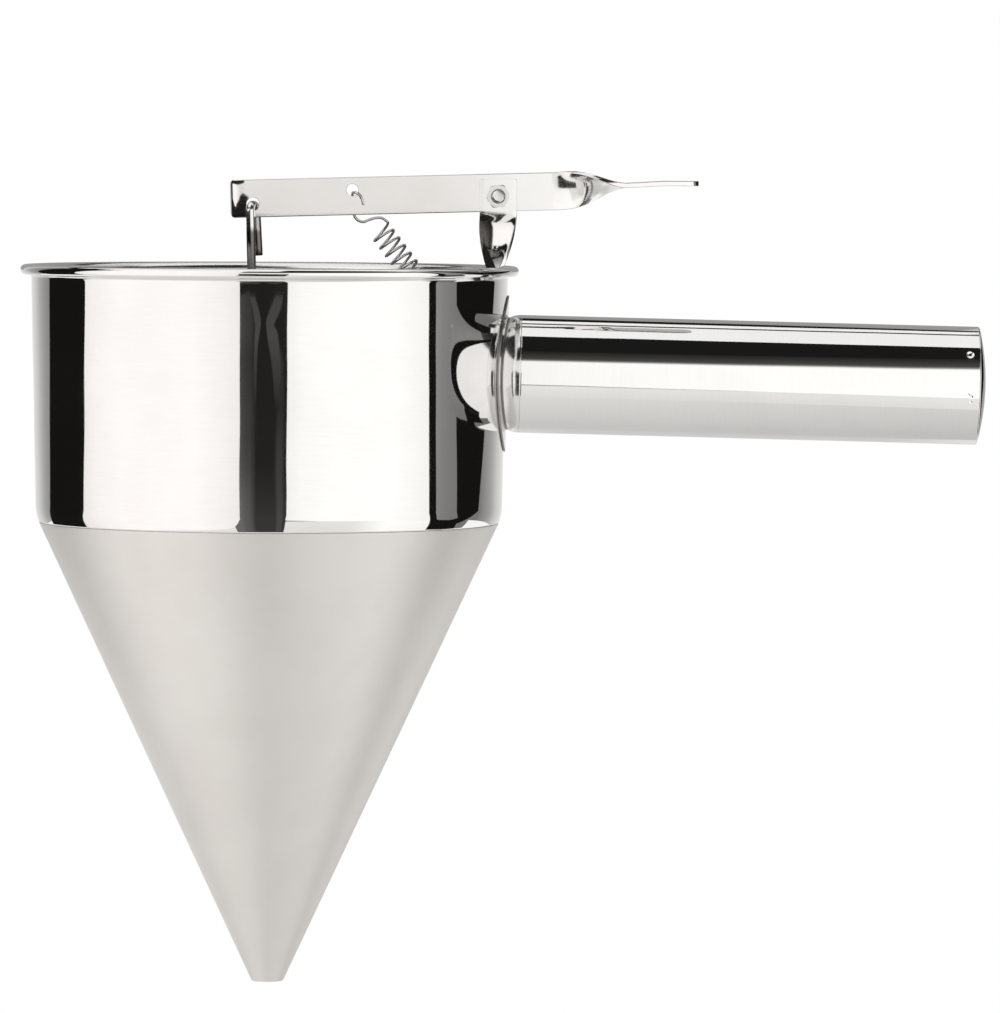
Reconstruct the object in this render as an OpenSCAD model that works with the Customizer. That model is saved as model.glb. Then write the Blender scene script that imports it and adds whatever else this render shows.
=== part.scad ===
// Pancake batter dispenser: a conical hopper with a hollow side handle, a
// thumb lever over the rim, and a plunger rod that closes the outlet.
// Millimetres. +Z is up, +X runs along the handle, and the origin is the
// centre of the outlet's lower edge. The lever's broad face looks along -Y.

/* [Hopper] */
// Outer radius of the outlet
tip_r = 4; // [3.6:0.1:4.4]
// Height of the corner between the cone and the bowl
shoulder_z = 118.1; // [116:0.1:121]
// Outer radius of the hopper at that corner
shoulder_r = 58.9; // [58.3:0.1:59.3]
// Outer radius of the rounded shoulder
shoulder_fillet = 13; // [8:0.5:18]
// Part of the rounded shoulder that belongs to the bowl, from its top
seam_part = 0.8; // [0.3:0.05:0.95]
// Lean of the bowl's wall from the vertical, in degrees
draft = 1.19; // [0.8:0.01:1.3]
// Sheet thickness of the bowl and the cone
sheet = 0.8; // [0.6:0.05:1]
// Height of the top of the rim
rim_z = 181.4; // [180.6:0.1:181.6]
// How far the rolled rim stands out from the wall
rim_out = 2.7; // [2.6:0.1:3.4]
// Height of the rolled rim
rim_h = 2.5; // [2.2:0.1:2.8]

/* [Handle] */
// Height of the handle's axis at the wall
handle_z = 154.35; // [152:0.05:155]
// Outer radius of the handle
handle_r = 14.9; // [13.5:0.1:15.2]
// Wall of the handle tube
handle_wall = 0.8; // [0.6:0.1:1.2]
// Distance from the saddle to the front end of the tube
ferrule_len = 3.25; // [2.75:0.25:5]
// Length of the handle tube
tube_len = 115.3; // [90:0.1:130]
// Rise of the domed end cap
dome_h = 1.9; // [1:0.1:3]
// Height of the oval saddle plate
saddle_h = 39.5; // [36:0.5:42]
// Width of the oval saddle plate
saddle_w = 32; // [31:0.5:36]
// Thickness of the saddle plate
saddle_t = 0.5; // [0.4:0.1:1]

/* [Bracket] */
// Width of the upright strip
bracket_w = 9.4; // [8:0.1:9.6]
// Thickness of the upright strip
bracket_t = 1.2; // [1:0.1:1.3]
// Height of the top of the strip
bracket_top = 203.4; // [202:0.1:205]
// Height of the foot's lower end
bracket_foot = 148; // [146:0.5:150]

/* [Lever] */
// Height of the lever strip
lever_h = 9.6; // [8.6:0.1:9.8]
// Thickness of the lever strip
lever_t = 1.3; // [1.1:0.05:1.3]
// Rise of the lever from its hook end to its pad, in degrees
lever_slope = 1.67; // [1:0.01:2]
// Length of the thumb pad
pad_len = 17.8; // [14:0.1:20]
// Angle of the bent end
bend_angle = 75; // [60:1:85]

/* [Plunger] */
// Radius of the plunger wire
rod_r = 1.13; // [1:0.01:1.2]
// Length of the short leg behind the lever
tail_len = 12.8; // [10:0.1:16]
// Height of the stopper's lower face
stopper_z = 1.2; // [0.8:0.1:2]
// Height of the stopper's conical part
stopper_h = 7.3; // [6:0.1:9]

/* [Spring] */
// Radius of the spring wire
wire_r = 0.35; // [0.3:0.01:0.4]
// Mean radius of the coil
coil_r = 2.75; // [2.4:0.05:2.8]
// Number of turns
coil_turns = 15; // [14:1:16]
// Pitch of the turns
coil_pitch = 2.42; // [2.3:0.02:2.44]

/* [Hidden] */

steel = "#d9d9d9";
satin = "#cfcbc4";
$fn = 128;

// Hopper profile: cone half angle, and the centre of the shoulder's arc.
cone_a = atan((shoulder_r - tip_r) / shoulder_z);
half_turn = (cone_a - draft) / 2;
mid_a = (cone_a + draft) / 2;
arc_r = shoulder_r - shoulder_fillet / cos(half_turn) * cos(mid_a);
arc_z = shoulder_z + shoulder_fillet / cos(half_turn) * sin(mid_a);
seam_a = draft + seam_part * (cone_a - draft);

function arc_at(r, a) = [arc_r + r * cos(a), arc_z - r * sin(a)];
function arc_run(r, a0, a1, n) =
    [for (i = [0 : n]) arc_at(r, a0 + (a1 - a0) * i / n)];
function wall_r(z) = shoulder_r + (z - shoulder_z) * tan(draft);
function wall_in(z) = wall_r(z) - sheet / cos(draft);

// Mechanism planes, counted along Y from the plunger's plane.
lever_front = 1.45;
lever_back = lever_front + lever_t;
washer_t = 0.45;
plate_back = 0.95;
plate_front = plate_back - bracket_t;
plate_mid = (plate_back + plate_front) / 2;
head_y = lever_back + 0.05 + washer_t;

// Pivot and the two holes of the lever, in the side view.
pivot = [57.6, 199.1];
hook_at = [-4.4, 196.8];
eye_at = [20.7, 200.5];
shaft_r = 1.48;
lever_mid = 0.94;
bend_at = -63.9;
twist_from = 13.4;
twist_to = 32.9;
pad_rise = 1.06;

function in_lever(p) = let (dx = p[0] - pivot[0], dz = p[1] - pivot[1])
    [dx * cos(lever_slope) + dz * sin(lever_slope),
     dz * cos(lever_slope) - dx * sin(lever_slope)];
function ease(s) = s <= 0 ? 0 : s >= 1 ? 1 : s * s * (3 - 2 * s);

// The same with an even rate between two short ramps.
function steady(s, r = 0.08) = s <= 0 ? 0 : s >= 1 ? 1
    : s < r ? s * s / (2 * r * (1 - r))
    : s > 1 - r ? 1 - pow(1 - s, 2) / (2 * r * (1 - r))
    : (s - r / 2) / (1 - r);

module on_handle() {
    translate([wall_r(handle_z) + saddle_t, 0, handle_z])
        rotate([0, 90 + draft, 0]) children();
}

module on_lever() {
    translate([pivot[0], 0, pivot[1]]) rotate([0, -lever_slope, 0]) children();
}

// A cylinder along Y from y0 to y1.
module along_y(r, y0, y1, fn = 96) {
    translate([0, y0, 0]) rotate([-90, 0, 0])
        cylinder(r = r, h = y1 - y0, $fn = fn);
}

// A strip through four-cornered stations.
module strip(stations) {
    n = len(stations);
    polyhedron(
        points = [for (s = stations) each s],
        faces = concat(
            [[0, 1, 2, 3]],
            [for (i = [0 : n - 2], k = [0 : 3])
                let (a = 4 * i + k, b = 4 * i + (k + 1) % 4)
                each [[a, a + 4, b], [b, a + 4, b + 4]]],
            [[4 * n - 1, 4 * n - 2, 4 * n - 3, 4 * n - 4]]),
        convexity = 4);
}

// ---- Hopper ----------------------------------------------------------

// Bowl: rounded shoulder, leaning wall and rolled rim.
module hopper_bowl() {
    bead = rim_h / 2;
    bead_r = wall_r(rim_z) + rim_out - bead;
    flare = 2;
    in_r = wall_in(rim_z - flare);
    low = rim_z - rim_h;
    profile = concat(
        arc_run(shoulder_fillet, seam_a, draft, 16),
        [[wall_r(low), low]],
        [for (a = [-90 : 10 : 90])
            [bead_r + bead * cos(a), rim_z - bead + bead * sin(a)]],
        [for (a = [90 : 10 : 180])
            [in_r + flare + flare * cos(a), rim_z - flare + flare * sin(a)]],
        arc_run(shoulder_fillet - sheet, draft, seam_a, 16));
    color(steel) rotate_extrude($fn = 180) polygon(profile);
}

// Cone: from the seam under the shoulder to the cut-off outlet.
module funnel_cone() {
    profile = concat(
        [[tip_r, 0]],
        arc_run(shoulder_fillet, cone_a, seam_a, 4),
        arc_run(shoulder_fillet - sheet, seam_a, cone_a, 4),
        [[tip_r - sheet / cos(cone_a), 0]]);
    color(satin) rotate_extrude($fn = 180) polygon(profile);
}

// ---- Handle ----------------------------------------------------------

// Saddle: an oval plate bent round the wall, under the handle's end.
module handle_saddle() {
    z0 = handle_z - 22;
    z1 = handle_z + 22;
    slack = 0.03;
    color(steel) intersection() {
        rotate_extrude($fn = 180)
            polygon([[wall_r(z0) + slack, z0], [wall_r(z0) + saddle_t, z0],
                     [wall_r(z1) + saddle_t, z1], [wall_r(z1) + slack, z1]]);
        translate([40, 0, handle_z]) rotate([0, 90, 0])
            linear_extrude(height = 30)
                polygon([for (a = [0 : 5 : 355])
                    [saddle_h / 2 * cos(a), saddle_w / 2 * sin(a)]]);
    }
}

// Ferrule: the rounded collar between the saddle and the tube. Its spigot
// goes into the tube, and its front end is cut to the saddle.
module handle_ferrule() {
    swell = max(6.5, ferrule_len + 3.25);
    wall = 1;
    spigot_r = handle_r - handle_wall;
    function outer(z) = handle_r - swell
        + sqrt(pow(swell, 2) - pow(ferrule_len - z, 2));
    rows = [for (i = [0 : 12]) -3 + (ferrule_len + 2.95) * i / 12];
    profile = concat(
        [for (z = rows) [outer(z), z]],
        [[spigot_r, ferrule_len], [spigot_r, ferrule_len + 6],
         [spigot_r - wall, ferrule_len + 6]],
        [for (i = [12 : -1 : 0])
            [min(spigot_r - wall, outer(rows[i]) - wall), rows[i]]]);
    z0 = handle_z - 22;
    z1 = handle_z + 22;
    color(steel) difference() {
        on_handle() rotate_extrude() polygon(profile);
        rotate_extrude($fn = 180)
            polygon([[0, z0], [wall_r(z0) + saddle_t, z0],
                     [wall_r(z1) + saddle_t, z1], [0, z1]]);
    }
}

// Tube: hollow, with three punched dimples that hold the end cap.
module handle_tube() {
    e = 0.25;
    z0 = ferrule_len;
    z1 = ferrule_len + tube_len;
    bore = handle_r - handle_wall;
    color(steel) on_handle() difference() {
        rotate_extrude()
            polygon([[bore, z0], [handle_r - e, z0], [handle_r, z0 + e],
                     [handle_r, z1 - e], [handle_r - e, z1], [bore, z1]]);
        for (a = [-33, 87, 207])
            rotate([0, 0, a - 90]) translate([handle_r + 0.85, 0, z1 - 1.95])
                sphere(r = 1.2, $fn = 48);
    }
}

// End cap: a shallow dome with a skirt inside the tube.
module handle_end_cap() {
    z1 = ferrule_len + tube_len;
    r = handle_r - 0.1;
    edge = 0.35;
    dome_r = (r * r + dome_h * dome_h) / (2 * dome_h);
    dome_a = asin(r / dome_r);
    skirt_r = handle_r - handle_wall;
    skirt_in = skirt_r - 0.8;
    top = z1 + edge + dome_h;
    in_a = asin(skirt_in / (dome_r - 0.8));
    profile = concat(
        [[skirt_r, z1 - 6], [skirt_r, z1], [r, z1], [r, z1 + edge]],
        [for (i = [1 : 12]) let (a = dome_a * (1 - i / 12))
            [dome_r * sin(a), top - dome_r + dome_r * cos(a)]],
        [for (i = [0 : 12]) let (a = in_a * i / 12)
            [(dome_r - 0.8) * sin(a), top - dome_r + (dome_r - 0.8) * cos(a)]],
        [[skirt_in, z1 - 6]]);
    color(steel) on_handle() rotate_extrude() polygon(profile);
}

// ---- Bracket and pivot -----------------------------------------------

// Upright strip: a flat plate that carries the pivot, a quarter twist, and
// a foot that lies along the inside of the wall.
module pivot_bracket() {
    top_mid = 57.65;
    flat_to = 195.3;
    twist_end = 172.7;
    turned_at = 176;
    waist = [56.8, 180.5];
    foot_face = sqrt(pow(wall_in(twist_end), 2)
                     - pow(bracket_w / 2 + abs(plate_mid), 2)) - 0.12;
    foot_mid = foot_face - bracket_t / 2;
    n = 28;
    stations = [for (i = [0 : n])
        let (s = i / n,
             z = flat_to - (flat_to - twist_end) * s,
             a = 90 * steady((flat_to - z) / (flat_to - turned_at)),
             cx = z > waist[1]
                  ? top_mid + (waist[0] - top_mid)
                    * steady((flat_to - z) / (flat_to - waist[1]))
                  : waist[0] + (foot_mid - waist[0])
                    * ease((waist[1] - z) / (waist[1] - twist_end)),
             w = bracket_w / 2,
             t = bracket_t / 2,
             u = [cos(a), -sin(a)],
             v = [sin(a), cos(a)])
        [for (k = [[-1, -1], [-1, 1], [1, 1], [1, -1]])
            [cx + k[0] * w * u[0] + k[1] * t * v[0],
             plate_mid + k[0] * w * u[1] + k[1] * t * v[1], z]]];
    foot_low = foot_mid - (twist_end - bracket_foot) * tan(draft);
    foot = [for (k = [[-1, -1], [-1, 1], [1, 1], [1, -1]])
        [foot_low + k[1] * bracket_t / 2, plate_mid - k[0] * bracket_w / 2,
         bracket_foot]];
    color(steel) union() {
        difference() {
            translate([top_mid - bracket_w / 2, plate_front, flat_to])
                cube([bracket_w, bracket_t, bracket_top - flat_to]);
            translate([pivot[0], 0, pivot[1]])
                along_y(1.6, plate_front - 1, plate_back + 1);
        }
        strip(concat(stations, [foot]));
    }
}

// Pivot screw: shaft through bracket and lever, with a pan head behind.
module pivot_bolt() {
    head_r = 2.9;
    head_h = 1.9;
    color(steel) translate([pivot[0], 0, pivot[1]]) difference() {
        union() {
            along_y(shaft_r, plate_front - 2.85, head_y);
            translate([0, head_y, 0]) rotate([-90, 0, 0])
                rotate_extrude($fn = 96)
                    polygon(concat([[0, 0], [head_r, 0], [head_r, 0.7]],
                        [for (a = [10 : 10 : 90])
                            [1.7 + 1.2 * cos(a), 0.7 + 1.2 * sin(a)]],
                        [[0, head_h]]));
        }
        for (a = [0, 90]) rotate([0, a + 20, 0])
            translate([-1.5, head_y + 0.9, -0.3]) cube([3, 2, 0.6]);
    }
}

// Hexagon nut on the front of the bracket, with chamfered corners.
module pivot_nut() {
    af = 5.5;
    h = 2.4;
    color(steel) translate([pivot[0], plate_front, pivot[1]])
        rotate([90, 0, 0]) difference() {
            intersection() {
                rotate([0, 0, 4]) cylinder(r = af / sqrt(3), h = h, $fn = 6);
                rotate_extrude($fn = 96)
                    polygon([[0, 0], [2.9, 0], [3.2, 0.25], [3.2, h - 0.4],
                             [2.6, h], [0, h]]);
            }
            translate([0, 0, -1]) cylinder(r = shaft_r, h = h + 2, $fn = 96);
            translate([0, 0, h - 0.3])
                cylinder(r1 = shaft_r, r2 = shaft_r + 0.4, h = 0.4, $fn = 96);
        }
}

// Two plain washers: one each side of the lever.
module pivot_washers() {
    color(steel) translate([pivot[0], 0, pivot[1]])
        for (y = [plate_back, lever_back + 0.05])
            difference() {
                along_y(3.1, y, y + washer_t);
                along_y(1.6, y - 1, y + washer_t + 1);
            }
}

// ---- Lever -----------------------------------------------------------

// Lever: one strip with a bent end, two hook holes, the pivot hole, a
// quarter twist and a thumb pad.
module lever() {
    h = lever_h;
    t = lever_t;
    mid_y = lever_front + t / 2;
    hook = in_lever(hook_at);
    eye = in_lever(eye_at);
    ro = 3.8;
    ri = ro - t;
    c = 0.9;
    left = bend_at - ro * sin(bend_angle);
    low = lever_mid - h / 2;
    n = 20;
    stations = [for (i = [0 : n])
        let (s = i / n,
             x = twist_from + (twist_to - twist_from) * s,
             a = 90 * ease(s),
             cz = lever_mid + pad_rise * ease(s),
             u = [-sin(a), cos(a)],
             v = [cos(a), sin(a)])
        [for (k = [[-1, -1], [-1, 1], [1, 1], [1, -1]])
            [x, mid_y + k[0] * h / 2 * u[0] + k[1] * t / 2 * v[0],
             cz + k[0] * h / 2 * u[1] + k[1] * t / 2 * v[1]]]];
    color(steel) on_lever() union() {
        difference() {
            intersection() {
                union() {
                    translate([bend_at, lever_front, low])
                        cube([twist_from - bend_at, t, h]);
                    translate([bend_at, lever_front + ro, low])
                        rotate([0, 0, -90])
                            rotate_extrude(angle = -bend_angle)
                                translate([ri, 0]) square([t, h]);
                }
                translate([0, 20, 0]) rotate([90, 0, 0])
                    linear_extrude(height = 30) union() {
                        translate([left, low + c])
                            square([twist_from - left, h - 2 * c]);
                        translate([left + c, low])
                            square([twist_from - left - c, h]);
                        for (z = [low + c, low + h - c])
                            translate([left + c, z]) circle(r = c, $fn = 48);
                    }
            }
            along_y(1.55, lever_front - 1, lever_back + 1);
            translate([hook[0], 0, hook[1]])
                along_y(1.65, lever_front - 1, lever_back + 0.6);
            translate([eye[0], 0, eye[1]])
                along_y(1.52, lever_front - 1, lever_back + 1);
        }
        strip(stations);
        translate([twist_to, mid_y, lever_mid + pad_rise])
            translate([0, 0, -t / 2])
                linear_extrude(height = t) union() {
                    translate([0, -h / 2]) square([pad_len - 3, h]);
                    translate([0, 3 - h / 2]) square([pad_len, h - 6]);
                    for (y = [3 - h / 2, h / 2 - 3])
                        translate([pad_len - 3, y]) circle(r = 3, $fn = 64);
                }
    }
}

// ---- Plunger ---------------------------------------------------------

rod_bend = 1.6;
tail_y = 4.2;
tail_lean = 3.3;
hook_drop = 0.3;
hook_turn = 16.7;
span = tail_y / cos(hook_turn);
leg_top = [hook_at[0] - tail_y / 2 * tan(hook_turn), hook_at[1] - hook_drop];
rod_lean = atan(-leg_top[0] / leg_top[1]);
leg_len = (leg_top[1] - stopper_z - 2.8) / cos(rod_lean);

// The wire's own frame: +Z up the long leg, +Y through the lever's hole.
module at_leg() {
    translate([leg_top[0], 0, leg_top[1]]) rotate([0, -rod_lean, 0])
        rotate([0, 0, -hook_turn]) children();
}

// A quarter bend in the YZ plane, from angle a0 on.
module bend(a0) {
    rotate([90, 0, 90]) rotate([0, 0, a0]) rotate_extrude(angle = 90)
        translate([rod_bend, 0]) circle(r = rod_r, $fn = 64);
}

// Rod: a long leg in front of the lever, a slanting run through its hole,
// and a short leg behind it.
module plunger_rod() {
    color(steel) at_leg() union() {
        translate([0, 0, -leg_len])
            cylinder(r = rod_r, h = leg_len - rod_bend, $fn = 64);
        translate([0, rod_bend, -rod_bend]) bend(90);
        along_y(rod_r, rod_bend, span - rod_bend, 64);
        rotate([0, rod_lean - tail_lean, 0]) {
            translate([0, span - rod_bend, -rod_bend]) bend(0);
            translate([0, span, -tail_len])
                cylinder(r = rod_r, h = tail_len - rod_bend, $fn = 64);
        }
    }
}

// Stopper: a turned plug that follows the inside of the cone, with a blind
// hole for the rod.
module plunger_stopper() {
    gap = 0.35;
    base_r = tip_r - (sheet + gap) / cos(cone_a);
    function seat(z) = base_r + z * tan(cone_a);
    z0 = stopper_z;
    z1 = stopper_z + stopper_h;
    color(steel) difference() {
        rotate_extrude($fn = 96)
            polygon([[0, z0], [seat(z0) - 0.4, z0], [seat(z0 + 0.4), z0 + 0.4],
                     [seat(z1), z1], [seat(z1), z1 + 0.8],
                     [seat(z1) - 0.8, z1 + 1.6], [2.6, z1 + 3], [2.6, z1 + 6],
                     [2.2, z1 + 6.4], [0, z1 + 6.4]]);
        at_leg() translate([0, 0, -leg_len])
            cylinder(r = rod_r, h = 40, $fn = 64);
    }
}

// ---- Spring ----------------------------------------------------------

eye = [54.2, 2.6, 155.5];
ear_t = 1;

// Anchor: a bent tab on the bracket's foot, with an eye for the spring.
module spring_anchor() {
    twist_end = 172.7;
    foot_face = sqrt(pow(wall_in(twist_end), 2)
                     - pow(bracket_w / 2 + abs(plate_mid), 2)) - 0.12;
    back = foot_face - bracket_t;
    y1 = eye[1] + ear_t / 2;
    color(steel) translate([back, 0, twist_end]) rotate([0, draft, 0])
        translate([-back, 0, -twist_end]) difference() {
            union() {
                translate([back - 1, y1 - 6, eye[2] - 4])
                    cube([1, 6, 8]);
                translate([eye[0], y1 - ear_t, eye[2] - 3])
                    cube([back - eye[0], ear_t, 6]);
                translate([eye[0], 0, eye[2]])
                    along_y(3, y1 - ear_t, y1);
            }
            translate([eye[0], 0, eye[2]]) along_y(1.2, y1 - 3, y1 + 2);
        }
}

coil_from = [27.62, 6.1, 190.44];
coil_axis = (eye - coil_from) / norm(eye - coil_from);
coil_up = let (v = cross(coil_axis, [0, -1, 0])) -v / norm(v);
coil_side = cross(coil_axis, coil_up);

// The turns lean a little along the axis.
turn_lean = 0.24;

function coil_pt(t) = coil_from
    + coil_axis * (coil_pitch * t - turn_lean * cos(360 * t))
    + coil_r * (coil_up * cos(360 * t) - coil_side * sin(360 * t));

// Route of the wire: hook through the lever's hole, coil, hook through the
// anchor's eye.
top_hook = [[23.6, 0.7, 196.7], [23.1, 0.65, 198.4], [22.4, 0.65, 199.4],
            [21.6, 0.95, 199.85], [20.95, 1.75, 199.8], [20.75, 2.7, 199.75],
            [20.7, 3.3, 199.4], [20.7, 3.75, 198.4], [20.7, 3.8, 196.4],
            [20.85, 3.85, 195], [21.3, 3.9, 193.8], [22.1, 4, 192.85],
            [23.5, 4.1, 192.45], [25, 4.5, 193], [26.6, 5, 193.45],
            [28.2, 5.6, 193.4]];
low_end = coil_from + coil_axis * (norm(eye - coil_from));
low_hook = [low_end + [-2.9, -0.9, 3.9], low_end + [-1.9, -1.1, 2.4],
            low_end + [-0.9, -1.25, 1.0], low_end + [-0.2, -1.2, 0.1],
            low_end + [0.2, -0.6, -0.4], low_end + [0.3, 0.2, -0.4],
            low_end + [0, 0.9, -0.1], low_end + [-0.9, 1.15, 1],
            low_end + [-1.9, 1.2, 2.2]];

function unit(v) = v / norm(v);

module wire(path, r, sides) {
    n = len(path);
    tan_at = [for (i = [0 : n - 1])
        unit(path[min(i + 1, n - 1)] - path[max(i - 1, 0)])];
    nor_at = [for (i = 0, v = unit(cross(tan_at[0], [0.3, 1, 0.2])); i < n;
        v = i + 1 < n ? unit(v - (v * tan_at[i + 1]) * tan_at[i + 1]) : v,
        i = i + 1) v];
    ring = [for (i = [0 : n - 1], k = [0 : sides - 1])
        path[i] + r * (nor_at[i] * cos(360 * k / sides)
                       + cross(tan_at[i], nor_at[i]) * sin(360 * k / sides))];
    polyhedron(
        points = ring,
        faces = concat(
            [[for (k = [0 : sides - 1]) k]],
            [for (i = [0 : n - 2], k = [0 : sides - 1])
                let (a = sides * i + k, b = sides * i + (k + 1) % sides)
                each [[a, a + sides, b], [b, a + sides, b + sides]]],
            [[for (k = [sides - 1 : -1 : 0]) sides * (n - 1) + k]]),
        convexity = 10);
}

module return_spring() {
    path = concat(top_hook,
        [for (i = [0 : coil_turns * 12]) coil_pt(i / 12)], low_hook);
    color(steel) wire(path, wire_r, 6);
}

hopper_bowl();
funnel_cone();
handle_saddle();
handle_ferrule();
handle_tube();
handle_end_cap();
pivot_bracket();
pivot_bolt();
pivot_nut();
pivot_washers();
lever();
plunger_rod();
plunger_stopper();
spring_anchor();
return_spring();
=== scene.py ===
import bpy
import bmesh
import math
from mathutils import Matrix, Vector


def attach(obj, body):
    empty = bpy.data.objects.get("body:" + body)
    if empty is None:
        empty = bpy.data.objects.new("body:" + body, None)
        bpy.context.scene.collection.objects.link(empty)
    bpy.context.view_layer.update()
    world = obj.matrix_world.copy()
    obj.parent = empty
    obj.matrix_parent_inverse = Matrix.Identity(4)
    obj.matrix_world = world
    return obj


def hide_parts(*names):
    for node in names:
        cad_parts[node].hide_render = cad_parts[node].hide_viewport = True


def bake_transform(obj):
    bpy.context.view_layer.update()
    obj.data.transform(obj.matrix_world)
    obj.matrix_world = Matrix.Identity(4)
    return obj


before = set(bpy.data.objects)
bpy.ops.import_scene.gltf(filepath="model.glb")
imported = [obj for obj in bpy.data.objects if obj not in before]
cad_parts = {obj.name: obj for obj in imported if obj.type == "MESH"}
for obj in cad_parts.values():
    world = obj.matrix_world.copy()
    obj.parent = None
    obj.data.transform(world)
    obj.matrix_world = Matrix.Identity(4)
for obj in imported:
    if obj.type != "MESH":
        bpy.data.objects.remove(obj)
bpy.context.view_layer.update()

MM = 0.001
RAD = math.pi / 180
SCENE = bpy.context.scene


# ---------------------------------------------------------------- mesh tools

def add(name, verts, faces, mats, face_mats=None, angle=34.0, weighted=True):
    """A mesh object from points in millimetres, smooth except at sharp edges."""
    me = bpy.data.meshes.new(name)
    me.from_pydata([(v[0] * MM, v[1] * MM, v[2] * MM) for v in verts], [], faces)
    for m in mats:
        me.materials.append(m)
    if face_mats:
        for p, i in zip(me.polygons, face_mats):
            p.material_index = i
    bm = bmesh.new()
    bm.from_mesh(me)
    bmesh.ops.recalc_face_normals(bm, faces=bm.faces)
    bm.to_mesh(me)
    bm.free()
    o = bpy.data.objects.new(name, me)
    SCENE.collection.objects.link(o)
    smooth(o, angle, weighted)
    return o


def smooth(o, angle=34.0, weighted=True):
    for p in o.data.polygons:
        p.use_smooth = True
    o.data.set_sharp_from_angle(angle=angle * RAD)
    if weighted and "even" not in o.modifiers:
        w = o.modifiers.new("even", "WEIGHTED_NORMAL")
        w.keep_sharp = True
        w.weight = 80


def boolean(o, cutter, operation="DIFFERENCE", angle=34.0):
    """Cuts o with cutter, and keeps the result as o's own mesh."""
    for m in list(o.modifiers):
        o.modifiers.remove(m)
    for m in list(cutter.modifiers):
        cutter.modifiers.remove(m)
    b = o.modifiers.new("cut", "BOOLEAN")
    b.operation = operation
    b.solver = "EXACT"
    b.object = cutter
    dg = bpy.context.evaluated_depsgraph_get()
    new = bpy.data.meshes.new_from_object(o.evaluated_get(dg))
    o.modifiers.remove(b)
    old, o.data = o.data, new
    name = old.name
    bpy.data.meshes.remove(old)
    new.name = name
    bpy.data.objects.remove(cutter, do_unlink=True)
    smooth(o, angle)
    return o


def dense(points, support=0.22, longest=12.0, closed=True):
    """Adds points near the ends of each long straight run of a profile."""
    out, marks = [], []
    n = len(points)
    for i in range(n if closed else n - 1):
        a, b = points[i], points[(i + 1) % n]
        d = math.dist(a, b)
        cuts = [0.0]
        if d > 4 * support:
            cuts.append(support / d)
            inner = max(1, math.ceil((d - 2 * support) / longest))
            for k in range(1, inner):
                cuts.append((support + (d - 2 * support) * k / inner) / d)
            cuts.append(1 - support / d)
        for t in cuts:
            out.append((a[0] + (b[0] - a[0]) * t, a[1] + (b[1] - a[1]) * t))
            marks.append(i)
    if not closed:
        out.append(tuple(points[-1]))
        marks.append(n - 1)
    return out, marks


def revolve(name, profile, mats, segs=256, at=None, seg_mat=None, push=None,
            support=0.22, longest=12.0, angle=34.0):
    """Turns a closed (radius, height) profile round the local Z axis.
    push(angle, radius, height) gives a small change of the radius."""
    at = at or Matrix.Identity(4)
    pts, marks = dense(profile, support, longest)
    verts, rows = [], []
    for r, z in pts:
        if r < 1e-6:
            rows.append([len(verts)] * segs)
            verts.append(at @ Vector((0, 0, z)))
            continue
        row = []
        for j in range(segs):
            t = 2 * math.pi * j / segs
            q = r + (push(t, r, z) if push else 0.0)
            row.append(len(verts))
            verts.append(at @ Vector((q * math.cos(t), q * math.sin(t), z)))
        rows.append(row)
    faces, fm = [], []
    n = len(pts)
    for i in range(n):
        a, b = rows[i], rows[(i + 1) % n]
        for j in range(segs):
            k = (j + 1) % segs
            f = []
            for v in (a[j], a[k], b[k], b[j]):
                if v not in f:
                    f.append(v)
            if len(f) > 2:
                faces.append(f)
                fm.append(seg_mat[marks[i]] if seg_mat else 0)
    return add(name, verts, faces, mats, fm, angle)


def tube(name, path, radius, mats, sides=16, taper=None, weighted=False):
    """A round wire along a path of points in millimetres."""
    path = [Vector(p) for p in path]
    n = len(path)
    tangents = [(path[min(i + 1, n - 1)] - path[max(i - 1, 0)]).normalized()
                for i in range(n)]
    side = tangents[0].cross(Vector((0.3, 1, 0.2))).normalized()
    verts, faces = [], []
    for i in range(n):
        side = (side - side.dot(tangents[i]) * tangents[i]).normalized()
        up = tangents[i].cross(side)
        r = radius * (taper[i] if taper else 1.0)
        for k in range(sides):
            t = 2 * math.pi * k / sides
            verts.append(path[i] + r * (side * math.cos(t) + up * math.sin(t)))
    for i in range(n - 1):
        for k in range(sides):
            a, b = i * sides + k, i * sides + (k + 1) % sides
            faces.append((a, b, b + sides, a + sides))
    faces.append(tuple(range(sides)))
    faces.append(tuple(range((n - 1) * sides, n * sides)))
    return add(name, verts, faces, mats, angle=50, weighted=weighted)


def rounded_section(hw, ht, corner, steps=4, across=9):
    """Points round a rectangle with small rounded corners, as (a, b), with
    more points across its two wide sides so that a twist shades truly."""
    corner = min(corner, hw * 0.98, ht * 0.98)
    pts = []
    for cx, cy, start in ((1, 1, 0), (-1, 1, 90), (-1, -1, 180), (1, -1, 270)):
        for s in range(steps + 1):
            t = (start + 90 * s / steps) * RAD
            pts.append((cx * (hw - corner) + corner * math.cos(t),
                        cy * (ht - corner) + corner * math.sin(t)))
        if start in (0, 180):
            for i in range(1, across):
                pts.append((cx * (hw - corner) * (1 - 2 * i / across), cy * ht))
    return pts


def strip(name, stations, mats, corner=0.22, at=None, angle=34.0):
    """A flat bar. A station is centre, width way, half width, thickness way
    and half thickness."""
    at = at or Matrix.Identity(4)
    verts, faces = [], []
    m = 0
    for c, u, hw, v, ht in stations:
        sec = rounded_section(hw, ht, corner)
        m = len(sec)
        for a, b in sec:
            verts.append(at @ (Vector(c) + Vector(u) * a + Vector(v) * b))
    n = len(stations)
    for i in range(n - 1):
        for k in range(m):
            a, b = i * m + k, i * m + (k + 1) % m
            faces.append((a, b, b + m, a + m))
    faces.append(tuple(range(m)))
    faces.append(tuple(range((n - 1) * m, n * m)))
    return add(name, verts, faces, mats, angle=angle)


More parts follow.
